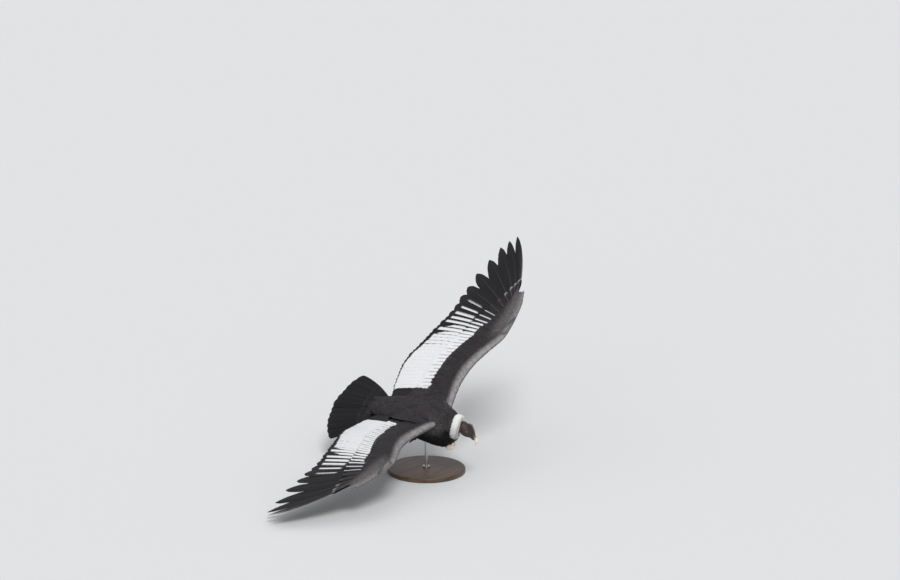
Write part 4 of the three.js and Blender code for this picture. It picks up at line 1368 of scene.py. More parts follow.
def drapedVanes(roots, outs, flow, length, width, lift, tree, normals, faces, draws, shares, columns, widths,
                thick=0.7, curl=0.0):
    # feathers that start at roots, run along flow and follow the skin beneath them
    count = len(roots)
    ahead = unit(flow - outs * (flow * outs).sum(1, keepdims=True))
    turn = draws.normal(0, 0.09, count)
    side = np.cross(ahead, outs)
    ahead, side = (
        ahead * np.cos(turn)[:, None] + side * np.sin(turn)[:, None],
        side * np.cos(turn)[:, None] - ahead * np.sin(turn)[:, None],
    )
    v, u = shares[None, :, None], columns[None, None, :]
    outline = widths[None, :, None]
    wide = 0.5 * width[:, None, None] * outline * u
    run = length[:, None, None] * (v - 0.07 * u * u * ramp(v, 0.35, 1))
    flat = roots[:, None, None] + ahead[:, None, None] * run[..., None]
    flat = flat + side[:, None, None] * wide[..., None]
    rise = mix(lift[0], lift[1], ramp(v, 0, 0.8)) + 0.6 * u - 0.6 * u * u + 0.4 * (u == 0)
    rise = rise + draws.normal(0, 0.45, count)[:, None, None] + curl * v**2
    top, out = np.zeros(flat.shape), np.zeros(flat.shape)
    faceNormals = unit(normals[faces].mean(1))
    for index in np.ndindex(flat.shape[:3]):
        spot, _, face, _ = tree.find_nearest(Vector(flat[index]))
        top[index], out[index] = spot, faceNormals[face]
    # one that would be caught on another surface, as at the wing's root, is left out
    shaft = top[:, :, len(columns) // 2]
    reach = np.linalg.norm(shaft[:, -1] - shaft[:, 0], axis=-1)
    keep = ((out * outs[:, None, None]).sum(-1).min((1, 2)) > 0.25) & (reach > 0.6 * length)
    run = run + 0 * wide
    flat, top, out, outs, wide, run, rise = (a[keep] for a in (flat, top, out, outs, wide, run, rise))
    # a feather past the end of the skin keeps its own line
    slip = ramp(np.linalg.norm(flat - top, axis=-1), 9, 22)[..., None]
    base = top * (1 - slip) + (flat - outs[:, None, None] * 3) * slip
    out = unit(out * (1 - slip) + outs[:, None, None] * slip)
    upper = base + out * rise[..., None]
    return upper, upper - out * thick, wide, run, keep


contour = {
    "shares": vec(0, 0.22, 0.48, 0.7, 0.86, 0.95, 1),
    "widths": vec(0.45, 0.85, 1, 0.96, 0.78, 0.5, 0.12),
    "columns": vec(-1, -0.5, 0, 0.5, 1),
    # on the back and at the neck, in millimetres
    "spacing": (16.2, 10.0),
    "length": (60, 31),
    "width": (30, 18),
    "lift": (-1.5, 7.0),  # at the root and at the tip
}


def bodyUnwrap(points):
    angle = np.arctan2(points[:, 0], points[:, 2] + 100)
    return np.stack([0.5 + angle / (2 * math.pi) * 0.96, 0.04 + 0.92 * (points[:, 1] + 70) / 740], -1)


def contourCoat(points, faces, normals, tree, draws):
    spot, off = nearestFlesh(points)
    onWing = (off < 14) & (spot[:, 0] > 0.03) | (np.abs(points[:, 0]) > 165)
    onWing |= (off < 24) & (spot[:, 0] > -0.03) & (np.abs(spot[:, 1]) < 75)  # the leading edge's root
    ahead, radial = aroundRuff(points)
    underRuff = (ahead > -26) & (radial < 84)
    x, y, z = points.T
    shoulder = (np.abs(x) > 84) & (y > 25) & (y < 70) & (z > -25)
    allowed = ~onWing & ~underRuff & ~shoulder & (cropDistance(points) > 30) & (y < 600)
    thigh = (z < -165) & (y > 240)
    nearNeck = ramp(y, 60, -30)
    spacing = mix(*contour["spacing"], nearNeck) * np.where(thigh, 0.75, 1)
    k = scatterRoots(points, allowed, spacing, draws)
    length = mix(*contour["length"], nearNeck[k]) * np.where(thigh[k], 0.7, 1)
    length = length * draws.uniform(0.88, 1.12, len(k))
    width = mix(*contour["width"], nearNeck[k]) * np.where(thigh[k], 0.75, 1)
    width = width * draws.uniform(0.9, 1.1, len(k))
    flow = np.repeat(yAxis[None], len(k), 0)
    flow[:, 0] += 0.35 * np.sign(x[k]) * ramp(y[k], 40, -40)
    roots, outs = points[k], normals[k]
    upper, under, wide, run, keep = drapedVanes(
        roots, outs, flow, length, width, contour["lift"], tree, normals, faces, draws, contour["shares"],
        contour["columns"], contour["widths"]
    )
    roots, outs = roots[keep], outs[keep]
    tone = draws.uniform(0.82, 1.22, len(roots))
    # the contour feathers take bodyCoat's painted shade on the breast and painted highlight on the shoulders
    base = bodyCoat(roots, outs)[:, None, None] + 0 * upper
    look = coatLook(base, contour["shares"], contour["columns"], tone)
    bake = patches(bodyUnwrap(roots), contour["shares"], contour["columns"])
    vane = np.stack([wide / 1000, run / 1000], -1)
    print("contour feathers", len(roots))
    return makeVanes(upper, under, (look, look * 0.9), vane, bake)


# scapulars: the long feathers over the joint of back and wing
scapular = {
    "length": (82, 118),
    "width": 42,
    "rows": 9,
    "columns": 4,
    "step": 15.0,  # millimetres of the height map beneath them
    "smoothings": 14,  # of the height map
    "shares": np.linspace(0, 1, 10),
    "outline": ([0, 0.2, 0.5, 0.8, 0.93, 1], [0.5, 0.85, 1, 0.88, 0.6, 0.1]),
    "across": vec(-1, -0.6, -0.2, 0, 0.2, 0.6, 1),
}


def backHeights():
    # the height of the skin and the wings' tops over a grid, smoothed across the gap between them
    clouds, polygons, start = [bodySkin[0]], [bodySkin[1]], len(bodySkin[0])
    station, distance = np.meshgrid(np.linspace(-0.14, 0.6, 46), np.arange(2, 416, 9.0), indexing="ij")
    surface = fleshSpot(station, distance) + fleshNormal(station, distance) * 7
    rows, columns = station.shape
    index = np.arange(rows * columns).reshape(rows, columns)
    quads = np.stack([index[:-1, :-1], index[1:, :-1], index[1:, 1:], index[:-1, 1:]], -1).reshape(-1, 4)
    for side in (1, -1):
        clouds.append(turnWing(surface, side).reshape(-1, 3))
        polygons.append(quads + start)
        start += rows * columns
    tree = BVHTree.FromPolygons(np.concatenate(clouds).tolist(), np.concatenate(polygons).tolist())
    across, along = np.arange(-300, 301, scapular["step"]), np.arange(-30, 601, scapular["step"])
    height = np.full((len(across), len(along)), np.nan)
    for i, x in enumerate(across):
        for j, y in enumerate(along):
            hit = tree.ray_cast(Vector((x, y, 500)), Vector((0, 0, -1)))[0]
            height[i, j] = hit.z if hit else -110
    floor = height.copy()
    for _ in range(scapular["smoothings"]):
        wide = np.pad(height, 1, mode="edge")
        blurred = (wide[:-2, 1:-1] + wide[2:, 1:-1] + wide[1:-1, :-2] + wide[1:-1, 2:]) / 4
        height = np.maximum(blurred, floor)
    return across, along, height


def scapularFeathers(draws):
    across, along, height = backHeights()

    def heightAt(x, y):
        i = np.clip((x - across[0]) / scapular["step"], 0, len(across) - 1.001)
        j = np.clip((y - along[0]) / scapular["step"], 0, len(along) - 1.001)
        a, b = i.astype(int), j.astype(int)
        u, v = i - a, j - b
        return (
            height[a, b] * (1 - u) * (1 - v) + height[a + 1, b] * u * (1 - v)
            + height[a, b + 1] * (1 - u) * v + height[a + 1, b + 1] * u * v
        )

    groups = []
    shares, columns = scapular["shares"], scapular["across"]
    row, column = np.divmod(np.arange(scapular["rows"] * scapular["columns"]), scapular["columns"])
    for side in (1, -1):
        back = row / (scapular["rows"] - 1)
        y = mix(62, 322, back) + 9 * column * (1 - back) + 5 * (column % 2) + draws.normal(0, 3, len(row))
        x = side * (mix(58, 46, back) + 23 * column + draws.normal(0, 3, len(row)))
        length = (mix(*scapular["length"], back) * draws.uniform(0.93, 1.07, len(row)))[:, None, None]
        slant = side * (mix(0.24, 0.1, back) + 0.03 * column) + draws.normal(0, 0.05, len(row))
        sine, cosine = np.sin(slant)[:, None, None], np.cos(slant)[:, None, None]
        v, u = shares[None, :, None], columns[None, None, :]
        outline = np.interp(shares, *scapular["outline"])[None, :, None]
        wide = 0.5 * scapular["width"] * outline * u * np.ones(length.shape)
        run = length * (v - 0.05 * u * u * ramp(v, 0.4, 1))
        px = x[:, None, None] + run * sine - wide * cosine
        py = y[:, None, None] + run * cosine + wide * sine
        step = 4.0
        slopeX = heightAt(px - step, py) - heightAt(px + step, py)
        slopeY = heightAt(px, py - step) - heightAt(px, py + step)
        out = unit(np.stack([slopeX, slopeY, np.full(px.shape, 2 * step)], -1))
        low = (3.5 * ramp(back, 0.3, 0))[:, None, None]  # the front rows lie close
        rise = mix(-2.0 - low, 7.5 - low, ramp(v, 0, 0.8)) + 0.36 * column[:, None, None]
        rise = rise - 0.9 * u * u + 0.5 * (u == 0) + 0.8 * u
        rise = rise + draws.normal(0, 0.5, len(row))[:, None, None]
        top = np.stack([px, py, heightAt(px, py)], -1) + out * rise[..., None]
        tone = draws.uniform(0.84, 1.18, len(row))
        base = palette["back"] * 0.95 + 0 * top
        look = coatLook(base, shares, columns, tone, 1.7)
        places = np.stack([0.5 + x / 500, 0.05 + 0.8 * y / 500], -1)
        bake = patches(places, shares, columns, 0.009)
        vane = np.stack([wide / 1000, run / 1000 + 0 * wide], -1)
        groups.append(makeVanes(top, top - out * 0.8, (look, look * 0.9), vane, bake))
    return groups


# ruff: curled flat locks of down, in rings round the neck
down = {
    "rings": 14,
    "around": (2.65, -0.85),  # angles of the first and last rows, over the ruff's section
    "count": (90, 118),  # locks in the first and last rows
    "length": (0.9, 1.25),
    "width": (6, 9.5),
    "curl": 1.15,
    "shares": vec(0, 0.25, 0.5, 0.72, 0.88, 1),
    "columns": vec(-1, -0.4, 0.4, 1),
    "outline": ([0, 0.3, 0.6, 0.85, 1], [0.5, 1, 0.92, 0.6, 0.08]),
}


def ruffLocks(draws):
    shares, columns = down["shares"], down["columns"]
    thick, deep = ruff["half"]
    groups = []
    for ring in range(down["rings"]):
        # the locks' roots go from the neck's side of the ring over its top to the breast's side
        t = ring / (down["rings"] - 1)
        around = mix(*down["around"], t)
        count = int(mix(*down["count"], t))
        angle = (np.arange(count) + 0.5 * (ring % 2)) * 2 * math.pi / count + draws.normal(0, 0.02, count)
        out = np.cos(angle)[:, None] * ruffSide + np.sin(angle)[:, None] * ruffUp
        length = draws.uniform(*down["length"], count)[:, None, None]
        v, u = shares[None, :, None], columns[None, None, :]
        outline = np.interp(shares, *down["outline"])[None, :, None]
        sweep = draws.normal(0.05, 0.09, count)[:, None, None]
        grow = mix(-1.0, 7.0, v) + draws.normal(0, 1.4, count)[:, None, None] * v
        grow = grow + 1.3 * v * v * mix(3.5, 0, t) + 0.8 * u - 0.6 * u * u
        a = around - down["curl"] * length * v + 0 * u
        spot = (
            ruff["centre"] + out[:, None, None] * (ruff["radius"] + (thick + grow) * np.cos(a))[..., None]
            + ruff["axis"] * (-ruff["back"] + (deep + grow) * np.sin(a))[..., None]
        )
        across = np.cross(out, ruff["axis"])[:, None, None]
        wide = draws.uniform(*down["width"], count)[:, None, None] * outline * u * 0.5 + 12 * sweep * v * 2
        upper = spot + across * wide[..., None]
        outward = unit(out[:, None, None] * np.cos(a)[..., None] + ruff["axis"] * np.sin(a)[..., None])
        under = upper - outward * 1.1
        tone = draws.uniform(0.93, 1.0, count)[:, None, None]
        shade = tone * mix(0.9, 1.0, v) + 0 * u
        look = palette["down"] * shade[..., None]
        places = np.stack([(angle / (2 * math.pi)) % 1 * 0.96 + 0.02, np.full(count, 0.05 + 0.9 * t)], -1)
        bake = patches(places, shares, columns)
        vane = np.stack(np.broadcast_arrays(wide / 1000, v * 0.03 + 0 * wide), -1)
        groups.append(makeVanes(upper, under, (look, look * 0.95), vane, bake))
    return groups


# bill, eyes, scutes and claws
def ringMesh(name, rings, colourOf):
    # a closed body through rings, with quads only: each end ring is drawn together to a point
    rings = np.asarray(rings, float)
    ends = [np.repeat(r.mean(0)[None], r.shape[0], 0) for r in (rings[0], rings[-1])]
    rings = np.concatenate([ends[0][None], rings, ends[1][None]])
    rows, around = rings.shape[:2]
    index = np.arange(rows * around).reshape(rows, around)
    turned = np.roll(index, -1, axis=1)
    faces = np.stack([index[:-1], turned[:-1], turned[1:], index[1:]], -1).reshape(-1, 4)
    points = rings.reshape(-1, 3)
    u = np.repeat((np.arange(around) + 0.5)[None] / around, rows, 0)
    v = np.repeat(np.linspace(0, 1, rows)[:, None], around, 1)
    cornerU = u.reshape(-1)[faces]
    pastSeam = (cornerU.max(1) - cornerU.min(1) > 0.5)[:, None] & (cornerU < 0.5)
    cornerU = np.where(pastSeam, cornerU + 1, cornerU)
    bake = np.stack([cornerU * 0.96, 0.01 + 0.98 * v.reshape(-1)[faces]], -1)
    mesh = makeMesh(name, points, faces, colour=colourOf(points), maps={"OFBake": bake})
    cleaned = bmesh.new()
    cleaned.from_mesh(mesh)
    bmesh.ops.remove_doubles(cleaned, verts=cleaned.verts, dist=1e-6)
    bmesh.ops.recalc_face_normals(cleaned, faces=cleaned.faces)
    cleaned.to_mesh(mesh)
    cleaned.free()
    return mesh


bill = {
    # number, x, z, half width, top, bottom and lean of each ring
    "upper": [
        (0, 74.35, -6, 13.5, 18.5, 4.35, 0),
        (1, 88, -5, 12.5, 17, 5.35, 0),
        (2, 100, -7, 11, 15, 3.6, 0.08),
        (3, 112, -13, 9, 13, 9.75, 0.5),
        (4, 119, -24, 6.5, 9, 6.75, 1.1),
        (5, 121, -34, 3.6, 5.5, 4.1, 1.4),
        (6, 119.5, -41, 1, 1.4, 1.05, 1.5),
    ],
    "lower": [(74.35, 13, 9.8), (79, 12.4, 9.8), (84, 11.5, 9.4), (91, 9, 7.8), (96, 5.5, 5), (98, 2.5, 2)],
    # the cutting edge's height is nearly straight until it turns down at the hook
    "edge": ([0, 2, 2.6, 3, 3.4, 3.8, 4.2], [-10.35, -10.6, -12.2, -16, -22.5, -32, -60]),
    "lowerZ": -11.85,
    "ivory": vec(0.8, 0.74, 0.6),
    "base": vec(0.05, 0.04, 0.035),
}


def hornColour(points):
    p = toHead(points)
    grain = 1 + 0.07 * wobble(points, 4, 5.0)
    tip = ramp(p[:, 0] + 0.3 * p[:, 2], 78, 104) ** 1.5
    return np.clip(blendColour(bill["base"], bill["ivory"], tip) * grain[:, None], 0, 0.9)


def upperBill():
    at = through(bill["upper"])
    rings = []
    for k in np.linspace(0, 6, 58):
        x, z, wide, top, bottom, lean = at(k)
        up = vec(math.sin(lean), 0, math.cos(lean))
        wide, top, bottom = max(wide, 0.6), max(top, 0.8), max(bottom, 0.6)
        ring = ovalRing(vec(x, 0, z), yAxis, up, wide, top, bottom, 36, 2.3)
        ring[:, 2] = np.maximum(ring[:, 2], np.interp(k, *bill["edge"]))
        rings.append(ring)
    return fromHead(rings)


def lowerBill():
    at = through(bill["lower"])
    rings = []
    for x in np.linspace(bill["lower"][0][0], bill["lower"][-1][0], 26):
        wide, deep = at(x)
        centre = vec(x, 0, bill["lowerZ"])
        rings.append(ovalRing(centre, yAxis, zAxis, max(wide, 1.2), 0.2, max(deep, 1), 32, 2.2))
    return fromHead(rings)


eyeLook = {  # edges as shares of the radius, and colours
    "pupil": (0.4, 0.36),
    "iris": (0.6, 0.68),
    "rim": (0.72, 0.8),
    "black": vec(0.002, 0.002, 0.002),
    "brown": vec(0.13, 0.045, 0.018),
    "dark": vec(0.012, 0.008, 0.007),
    "white": vec(0.05, 0.03, 0.025),
}


def eyeBall(side):
    centre = head["eye"] * vec(1, side, 1)
    rings = []
    for a in np.concatenate([np.linspace(0.04, 0.9, 16), np.linspace(0.95, math.pi - 0.05, 18)]):
        bulge = head["eyeRadius"] * (1 + 0.035 * math.exp(-((a / 0.5) ** 2)))
        spot = centre + vec(0, side * bulge * math.cos(a), 0)
        ring = ovalRing(spot, xAxis, zAxis, *[bulge * math.sin(a)] * 3, 36)
        rings.append(ring)
    return fromHead(rings)


def eyeColour(side):
    def look(points):
        p = toHead(points) - head["eye"] * vec(1, side, 1)
        away = np.hypot(p[:, 0], p[:, 2]) / head["eyeRadius"]
        angle = np.arctan2(p[:, 2], p[:, 0])
        streak = 1 + 0.35 * np.sin(angle * 23) * np.sin(angle * 9 + 2)
        colour = eyeLook["brown"] * streak[:, None] * mix(0.7, 1.3, ramp(away, 0.36, 0.6))[:, None]
        colour = blendColour(colour, eyeLook["black"], ramp(away, *eyeLook["pupil"]))
        colour = blendColour(colour, eyeLook["dark"], ramp(away, *eyeLook["iris"]))
        return blendColour(colour, eyeLook["white"], ramp(away, *eyeLook["rim"]))

    return look


def clawParts():
    start = legs["ankle"] + vec(0, 8, 1)
    claws = []
    for angle, length in legs["toes"]:
        at = toeLine(angle, length)
        path = [at(0.9, -7), at(1.04, -8.5), at(1.15, -14), at(1.235, -24.5)]
        claws.append(tubeRings(path, [(3.6, 4.3), (3.2, 4), (2.2, 2.8), 0.7], 20, 6))
    hind = [start + vec(0, -18, -11), start + vec(0, -23, -15), start + vec(0, -27.5, -20.5)]
    claws.append(tubeRings(hind, [3.6, 2.6, 0.7], 16, 6))
    return claws


def scutes(draws):
    # overlapping plates over the toes and down the front of the shank
    columns = np.linspace(-1, 1, 7)
    shares = vec(0, 0.25, 0.55, 0.82, 1)
    runs = []
    for angle, length in legs["toes"]:
        at = toeLine(angle, length)
        runs.append(([at(0.12, 1), at(0.4, 3), at(1, -9)], [7.6, 7.0, 5.2], int(length / 6), zAxis))
    heel, ankle = legs["heel"], legs["ankle"]
    runs.append(([heel + vec(0, 16, 3), (heel + ankle) / 2, ankle], [10.6, 8.8, 9.2], 15, -zAxis))
    groups = []
    for path, radii, count, up in runs:
        fine = through(np.column_stack([np.arange(3), np.array(path), radii]))
        tops, unders, wides = [], [], []
        for n in range(count):
            k = (n + shares * 1.35) * 2 / (count + 0.4)
            row = fine(k)
            line = unit(np.gradient(row[:, :3], axis=0))
            side = unit(np.cross(line, up))
            high = np.cross(side, line)
            turn = columns * mix(1.15, 0.9, shares[:, None] ** 2)
            outward = high[:, None] * np.cos(turn)[..., None] + side[:, None] * np.sin(turn)[..., None]
            radius = row[:, 3][:, None] + mix(-0.6, 1.0, shares)[:, None] - 0.7 * np.abs(columns) ** 3
            top = row[:, None, :3] + outward * radius[..., None]
            tops.append(top)
            unders.append(top - outward * 0.9)
            wides.append(np.broadcast_to(columns * 8, top.shape[:2]))
        top, under, wide = np.array(tops), np.array(unders), np.array(wides)
        tone = draws.uniform(0.85, 1.15, count)[:, None, None, None]
        look = skin["leg"] * tone * mix(0.75, 1.1, shares)[:, None, None] + 0 * top
        spot = np.stack([np.linspace(0.05, 0.95, count), np.full(count, 0.1 + 0.2 * len(groups))], -1)
        bake = patches(spot, shares, columns, 0.02)
        groups.append(makeVanes(top, under, (look, look), np.stack([wide / 1000, wide * 0], -1), bake))
    # the right foot is the mirror image
    for group in list(groups):
        copy = {k: a.copy() for k, a in group.items()}
        copy["points"][:, 0] *= -1
        for k in ("faces", "colour", "vane", "bake"):
            copy[k] = copy[k][:, ::-1]
        groups.append(copy)
    return groups


# materials
def newGroup(name, inputs, outputs):
    group = bpy.data.node_groups.new(name, "ShaderNodeTree")
    for label, kind, value in inputs:
        socket = group.interface.new_socket(label, in_out="INPUT", socket_type=kind)
        socket.default_value = value
    for label, kind in outputs:
        group.interface.new_socket(label, in_out="OUTPUT", socket_type=kind)
    return group, group.nodes.new("NodeGroupInput"), group.nodes.new("NodeGroupOutput")


def mathNode(tree, operation, a, b=None):
    node = tree.nodes.new("ShaderNodeMath")
    node.operation = operation
    for socket, value in zip(node.inputs, (a, b)):
        if value is None:
            continue
        if isinstance(value, (int, float)):
            socket.default_value = value
        else:
            tree.links.new(value, socket)
    return node.outputs[0]


def noiseNode(tree, vector, scale, detail=4.0, roughness=0.55):
    node = tree.nodes.new("ShaderNodeTexNoise")
    node.inputs["Scale"].default_value = scale
    node.inputs["Detail"].default_value = detail
    node.inputs["Roughness"].default_value = roughness
    tree.links.new(vector, node.inputs["Vector"])
    return node.outputs["Fac"]


def rangeNode(tree, value, low, high, to=(0.0, 1.0)):
    node = tree.nodes.new("ShaderNodeMapRange")
    tree.links.new(value, node.inputs["Value"])
    for label, number in zip(("From Min", "From Max", "To Min", "To Max"), (low, high, *to)):
        node.inputs[label].default_value = number
    return node.outputs["Result"]


def mixNode(tree, share, a, b):
    node = tree.nodes.new("ShaderNodeMix")
    node.data_type = "RGBA"
    for socket, value in zip((node.inputs["Factor"], node.inputs["A"], node.inputs["B"]), (share, a, b)):
        if isinstance(value, tuple):
            socket.default_value = value
        else:
            tree.links.new(value, socket)
    return next(o for o in node.outputs if o.type == "RGBA")


def scaleNode(tree, colour, factor):
    node = tree.nodes.new("ShaderNodeVectorMath")
    node.operation = "SCALE"
    tree.links.new(colour, node.inputs[0])
    tree.links.new(factor, node.inputs["Scale"])
    return node.outputs[0]


def objectPlace(tree, stretch=None):
    # coordinates of the object itself, stretched along each axis where asked
    place = tree.nodes.new("ShaderNodeTexCoord").outputs["Object"]
    if stretch is None:
        return place
    node = tree.nodes.new("ShaderNodeMapping")
    node.inputs["Scale"].default_value = stretch
    tree.links.new(place, node.inputs["Vector"])
    return node.outputs[0]


def barbGroup():
    # barbs that slant from the shaft towards the tip, as fine streaks of tone and relief
    group, source, target = newGroup(
        "featherBarbs",
        [("Colour", "NodeSocketColor", (0.1, 0.1, 0.1, 1)), ("Barb Spacing", "NodeSocketFloat", 0.0016),
         ("Barb Slant", "NodeSocketFloat", 0.9), ("Streaks", "NodeSocketFloat", 0.2)],
        [("Colour", "NodeSocketColor"), ("Roughness", "NodeSocketFloat"), ("Height", "NodeSocketFloat")],
    )
    vane = group.nodes.new("ShaderNodeUVMap")
    vane.uv_map = "vane"
    split = group.nodes.new("ShaderNodeSeparateXYZ")
    group.links.new(vane.outputs["UV"], split.inputs[0])
    across = mathNode(group, "ABSOLUTE", split.outputs["X"])
    slant = mathNode(group, "MULTIPLY", across, source.outputs["Barb Slant"])
    barb = mathNode(group, "SUBTRACT", split.outputs["Y"], slant)
    phase = mathNode(group, "DIVIDE", barb, source.outputs["Barb Spacing"])
    wave = mathNode(group, "SINE", mathNode(group, "MULTIPLY", phase, 2 * math.pi))
    streakPlace = group.nodes.new("ShaderNodeCombineXYZ")
    group.links.new(mathNode(group, "MULTIPLY", barb, 420.0), streakPlace.inputs["X"])
    group.links.new(mathNode(group, "MULTIPLY", split.outputs["X"], 26.0), streakPlace.inputs["Y"])
    streak = noiseNode(group, streakPlace.outputs[0], 1.0, 3.0)
    tone = mathNode(group, "MULTIPLY", mathNode(group, "SUBTRACT", streak, 0.5), source.outputs["Streaks"])
    tone = mathNode(group, "ADD", mathNode(group, "MULTIPLY", tone, 2.0), 1.0)
    group.links.new(scaleNode(group, source.outputs["Colour"], tone), target.inputs["Colour"])
    group.links.new(rangeNode(group, streak, 0.3, 0.7, (-0.06, 0.08)), target.inputs["Roughness"])
    height = mathNode(group, "ADD", mathNode(group, "MULTIPLY", wave, 0.35), streak)
    group.links.new(height, target.inputs["Height"])
    return group


def startMaterial(name, **sockets):
    material = bpy.data.materials.new(name)
    material.use_nodes = True
    tree = material.node_tree
    shader = tree.nodes["Principled BSDF"]
    for label, value in sockets.items():
        shader.inputs[label.replace("_", " ")].default_value = value
    return material, tree, shader


def plumageNode(tree):
    node = tree.nodes.new("ShaderNodeAttribute")
    node.attribute_name = "plumage"
    return node.outputs["Color"]


def bumpNode(tree, height, distance, shader):
    bump = tree.nodes.new("ShaderNodeBump")
    bump.inputs["Strength"].default_value = 1.0
    bump.inputs["Distance"].default_value = distance
    tree.links.new(height, bump.inputs["Height"])
    tree.links.new(bump.outputs["Normal"], shader.inputs["Normal"])


barbs = barbGroup()


def featherMaterial(name, spacing, slant, streaks, roughness, relief, **sockets):
    material, tree, shader = startMaterial(name, **sockets)
    group = tree.nodes.new("ShaderNodeGroup")
    group.node_tree = barbs
    tree.links.new(plumageNode(tree), group.inputs["Colour"])
    for label, value in (("Barb Spacing", spacing), ("Barb Slant", slant), ("Streaks", streaks)):
        group.inputs[label].default_value = value
    tree.links.new(group.outputs["Colour"], shader.inputs["Base Color"])
    rough = mathNode(tree, "ADD", group.outputs["Roughness"], roughness)
    tree.links.new(rough, shader.inputs["Roughness"])
    bumpNode(tree, group.outputs["Height"], relief, shader)
    return material


flightMaterial = featherMaterial(
    "flightFeathers", 0.0013, 1.1, 0.3, 0.52, 0.00012, Specular_IOR_Level=0.18
)
coatMaterial = featherMaterial(
    "contourFeathers", 0.001, 1.3, 0.35, 0.66, 0.00012, Specular_IOR_Level=0.14
)
downMaterial = featherMaterial(
    "whiteDown", 0.0009, 2.2, 0.12, 0.85, 0.0003, Specular_IOR_Level=0.2
)


def skinMaterial():
    material, tree, shader = startMaterial(
        "bareSkin", Subsurface_Weight=0.12, Subsurface_Scale=0.006, Specular_IOR_Level=0.45
    )
    shader.inputs["Subsurface Radius"].default_value = (1.0, 0.35, 0.2)
    place = objectPlace(tree)
    mottle = noiseNode(tree, place, 90.0, 5.0, 0.6)
    fine = noiseNode(tree, place, 420.0, 3.0, 0.6)
    cells = tree.nodes.new("ShaderNodeTexVoronoi")
    cells.inputs["Scale"].default_value = 330.0
    tree.links.new(place, cells.inputs["Vector"])
    tone = rangeNode(tree, mottle, 0.3, 0.7, (0.72, 1.3))
    tree.links.new(scaleNode(tree, plumageNode(tree), tone), shader.inputs["Base Color"])
    tree.links.new(rangeNode(tree, fine, 0.3, 0.7, (0.42, 0.66)), shader.inputs["Roughness"])
    height = mathNode(tree, "ADD", mathNode(tree, "MULTIPLY", cells.outputs["Distance"], 0.6), mottle)
    bumpNode(tree, mathNode(tree, "ADD", height, mathNode(tree, "MULTIPLY", fine, 0.4)), 0.0007, shader)
    return material


def hornMaterial():
    material, tree, shader = startMaterial("billHorn", Coat_Weight=0.25, Coat_Roughness=0.2)
    grain = noiseNode(tree, objectPlace(tree, (1, 1, 0.35)), 380.0, 4.0)
    tone = rangeNode(tree, grain, 0.3, 0.7, (0.86, 1.06))
    tree.links.new(scaleNode(tree, plumageNode(tree), tone), shader.inputs["Base Color"])
    tree.links.new(rangeNode(tree, grain, 0.3, 0.7, (0.28, 0.42)), shader.inputs["Roughness"])
    bumpNode(tree, grain, 0.0002, shader)
    return material


def eyeMaterial():
    material, tree, shader = startMaterial("eyeBall", Coat_Weight=1.0, Coat_Roughness=0.03)
    fine = noiseNode(tree, objectPlace(tree), 1500.0, 2.0)
    tree.links.new(plumageNode(tree), shader.inputs["Base Color"])
    tree.links.new(rangeNode(tree, fine, 0.3, 0.7, (0.1, 0.22)), shader.inputs["Roughness"])
    return material


wood = {"light": (0.115, 0.062, 0.033, 1), "dark": (0.045, 0.024, 0.014, 1), "pore": (0.02, 0.011, 0.007, 1)}


def woodMaterial():
    material, tree, shader = startMaterial("turnedWood", Coat_Weight=0.15, Coat_Roughness=0.3)
    place = objectPlace(tree, (1, 9, 9))
    rings = noiseNode(tree, place, 3.2, 6.0, 0.6)
    pores = noiseNode(tree, place, 60.0, 3.0, 0.7)
    grain = mixNode(tree, rangeNode(tree, rings, 0.35, 0.68), wood["light"], wood["dark"])
    full = mixNode(tree, rangeNode(tree, pores, 0.56, 0.7, (0.0, 0.5)), grain, wood["pore"])
    tree.links.new(full, shader.inputs["Base Color"])
    tree.links.new(rangeNode(tree, pores, 0.3, 0.7, (0.36, 0.52)), shader.inputs["Roughness"])
    bumpNode(tree, pores, 0.00015, shader)
    return material


steel = {"dark": (0.42, 0.42, 0.43, 1), "light": (0.62, 0.62, 0.62, 1)}


def metalMaterial():
    material, tree, shader = startMaterial("satinSteel", Metallic=1.0)
    brushed = noiseNode(tree, objectPlace(tree, (1, 1, 30)), 90.0, 4.0)
    tree.links.new(mixNode(tree, brushed, steel["dark"], steel["light"]), shader.inputs["Base Color"])
    tree.links.new(rangeNode(tree, brushed, 0.3, 0.7, (0.26, 0.4)), shader.inputs["Roughness"])
    bumpNode(tree, brushed, 0.00005, shader)
    return material


# assembly
def skinPiece():
    spots, faces, colours, maps, start = [], [], [], [], 0
    for (points, quads, outward), inset, paint, area in (
        (bodySkin, skin["inset"], bodyColours, (0, 0, 0.45, 0.6)),
        (headSkin, 0, skinColours, (0.46, 0, 1, 1)),
        (legSkin, 0, legColours, (0, 0.62, 0.45, 1)),
    ):
        moved = points - outward * inset
        spots.append(moved)
        faces.append(quads + start)
        start += len(points)
        colours.append(paint(moved, outward))
        low, high = points.min(0), points.max(0)
        maps.append(boxUnwrap(points, outward, quads, ((low + high) / 2, (high - low) * 1.04, area)))
    mesh = makeMesh(
        "skin", np.concatenate(spots), np.concatenate(faces), colour=np.concatenate(colours),
        maps={"OFBake": np.concatenate(maps)},
    )
    addPiece(
        "skin", mesh, skinMaterial(),
        ["torso", "neck", "head", "comb", "crop", "thigh_left", "thigh_right", "shank_left", "shank_right",
         "foot_left", "foot_right"],
    )


def addFeathers(name, groups, material, replaced=(), mirrored=False):
    addPiece(name, joinVanes(name, groups, mirrored), material, replaced)


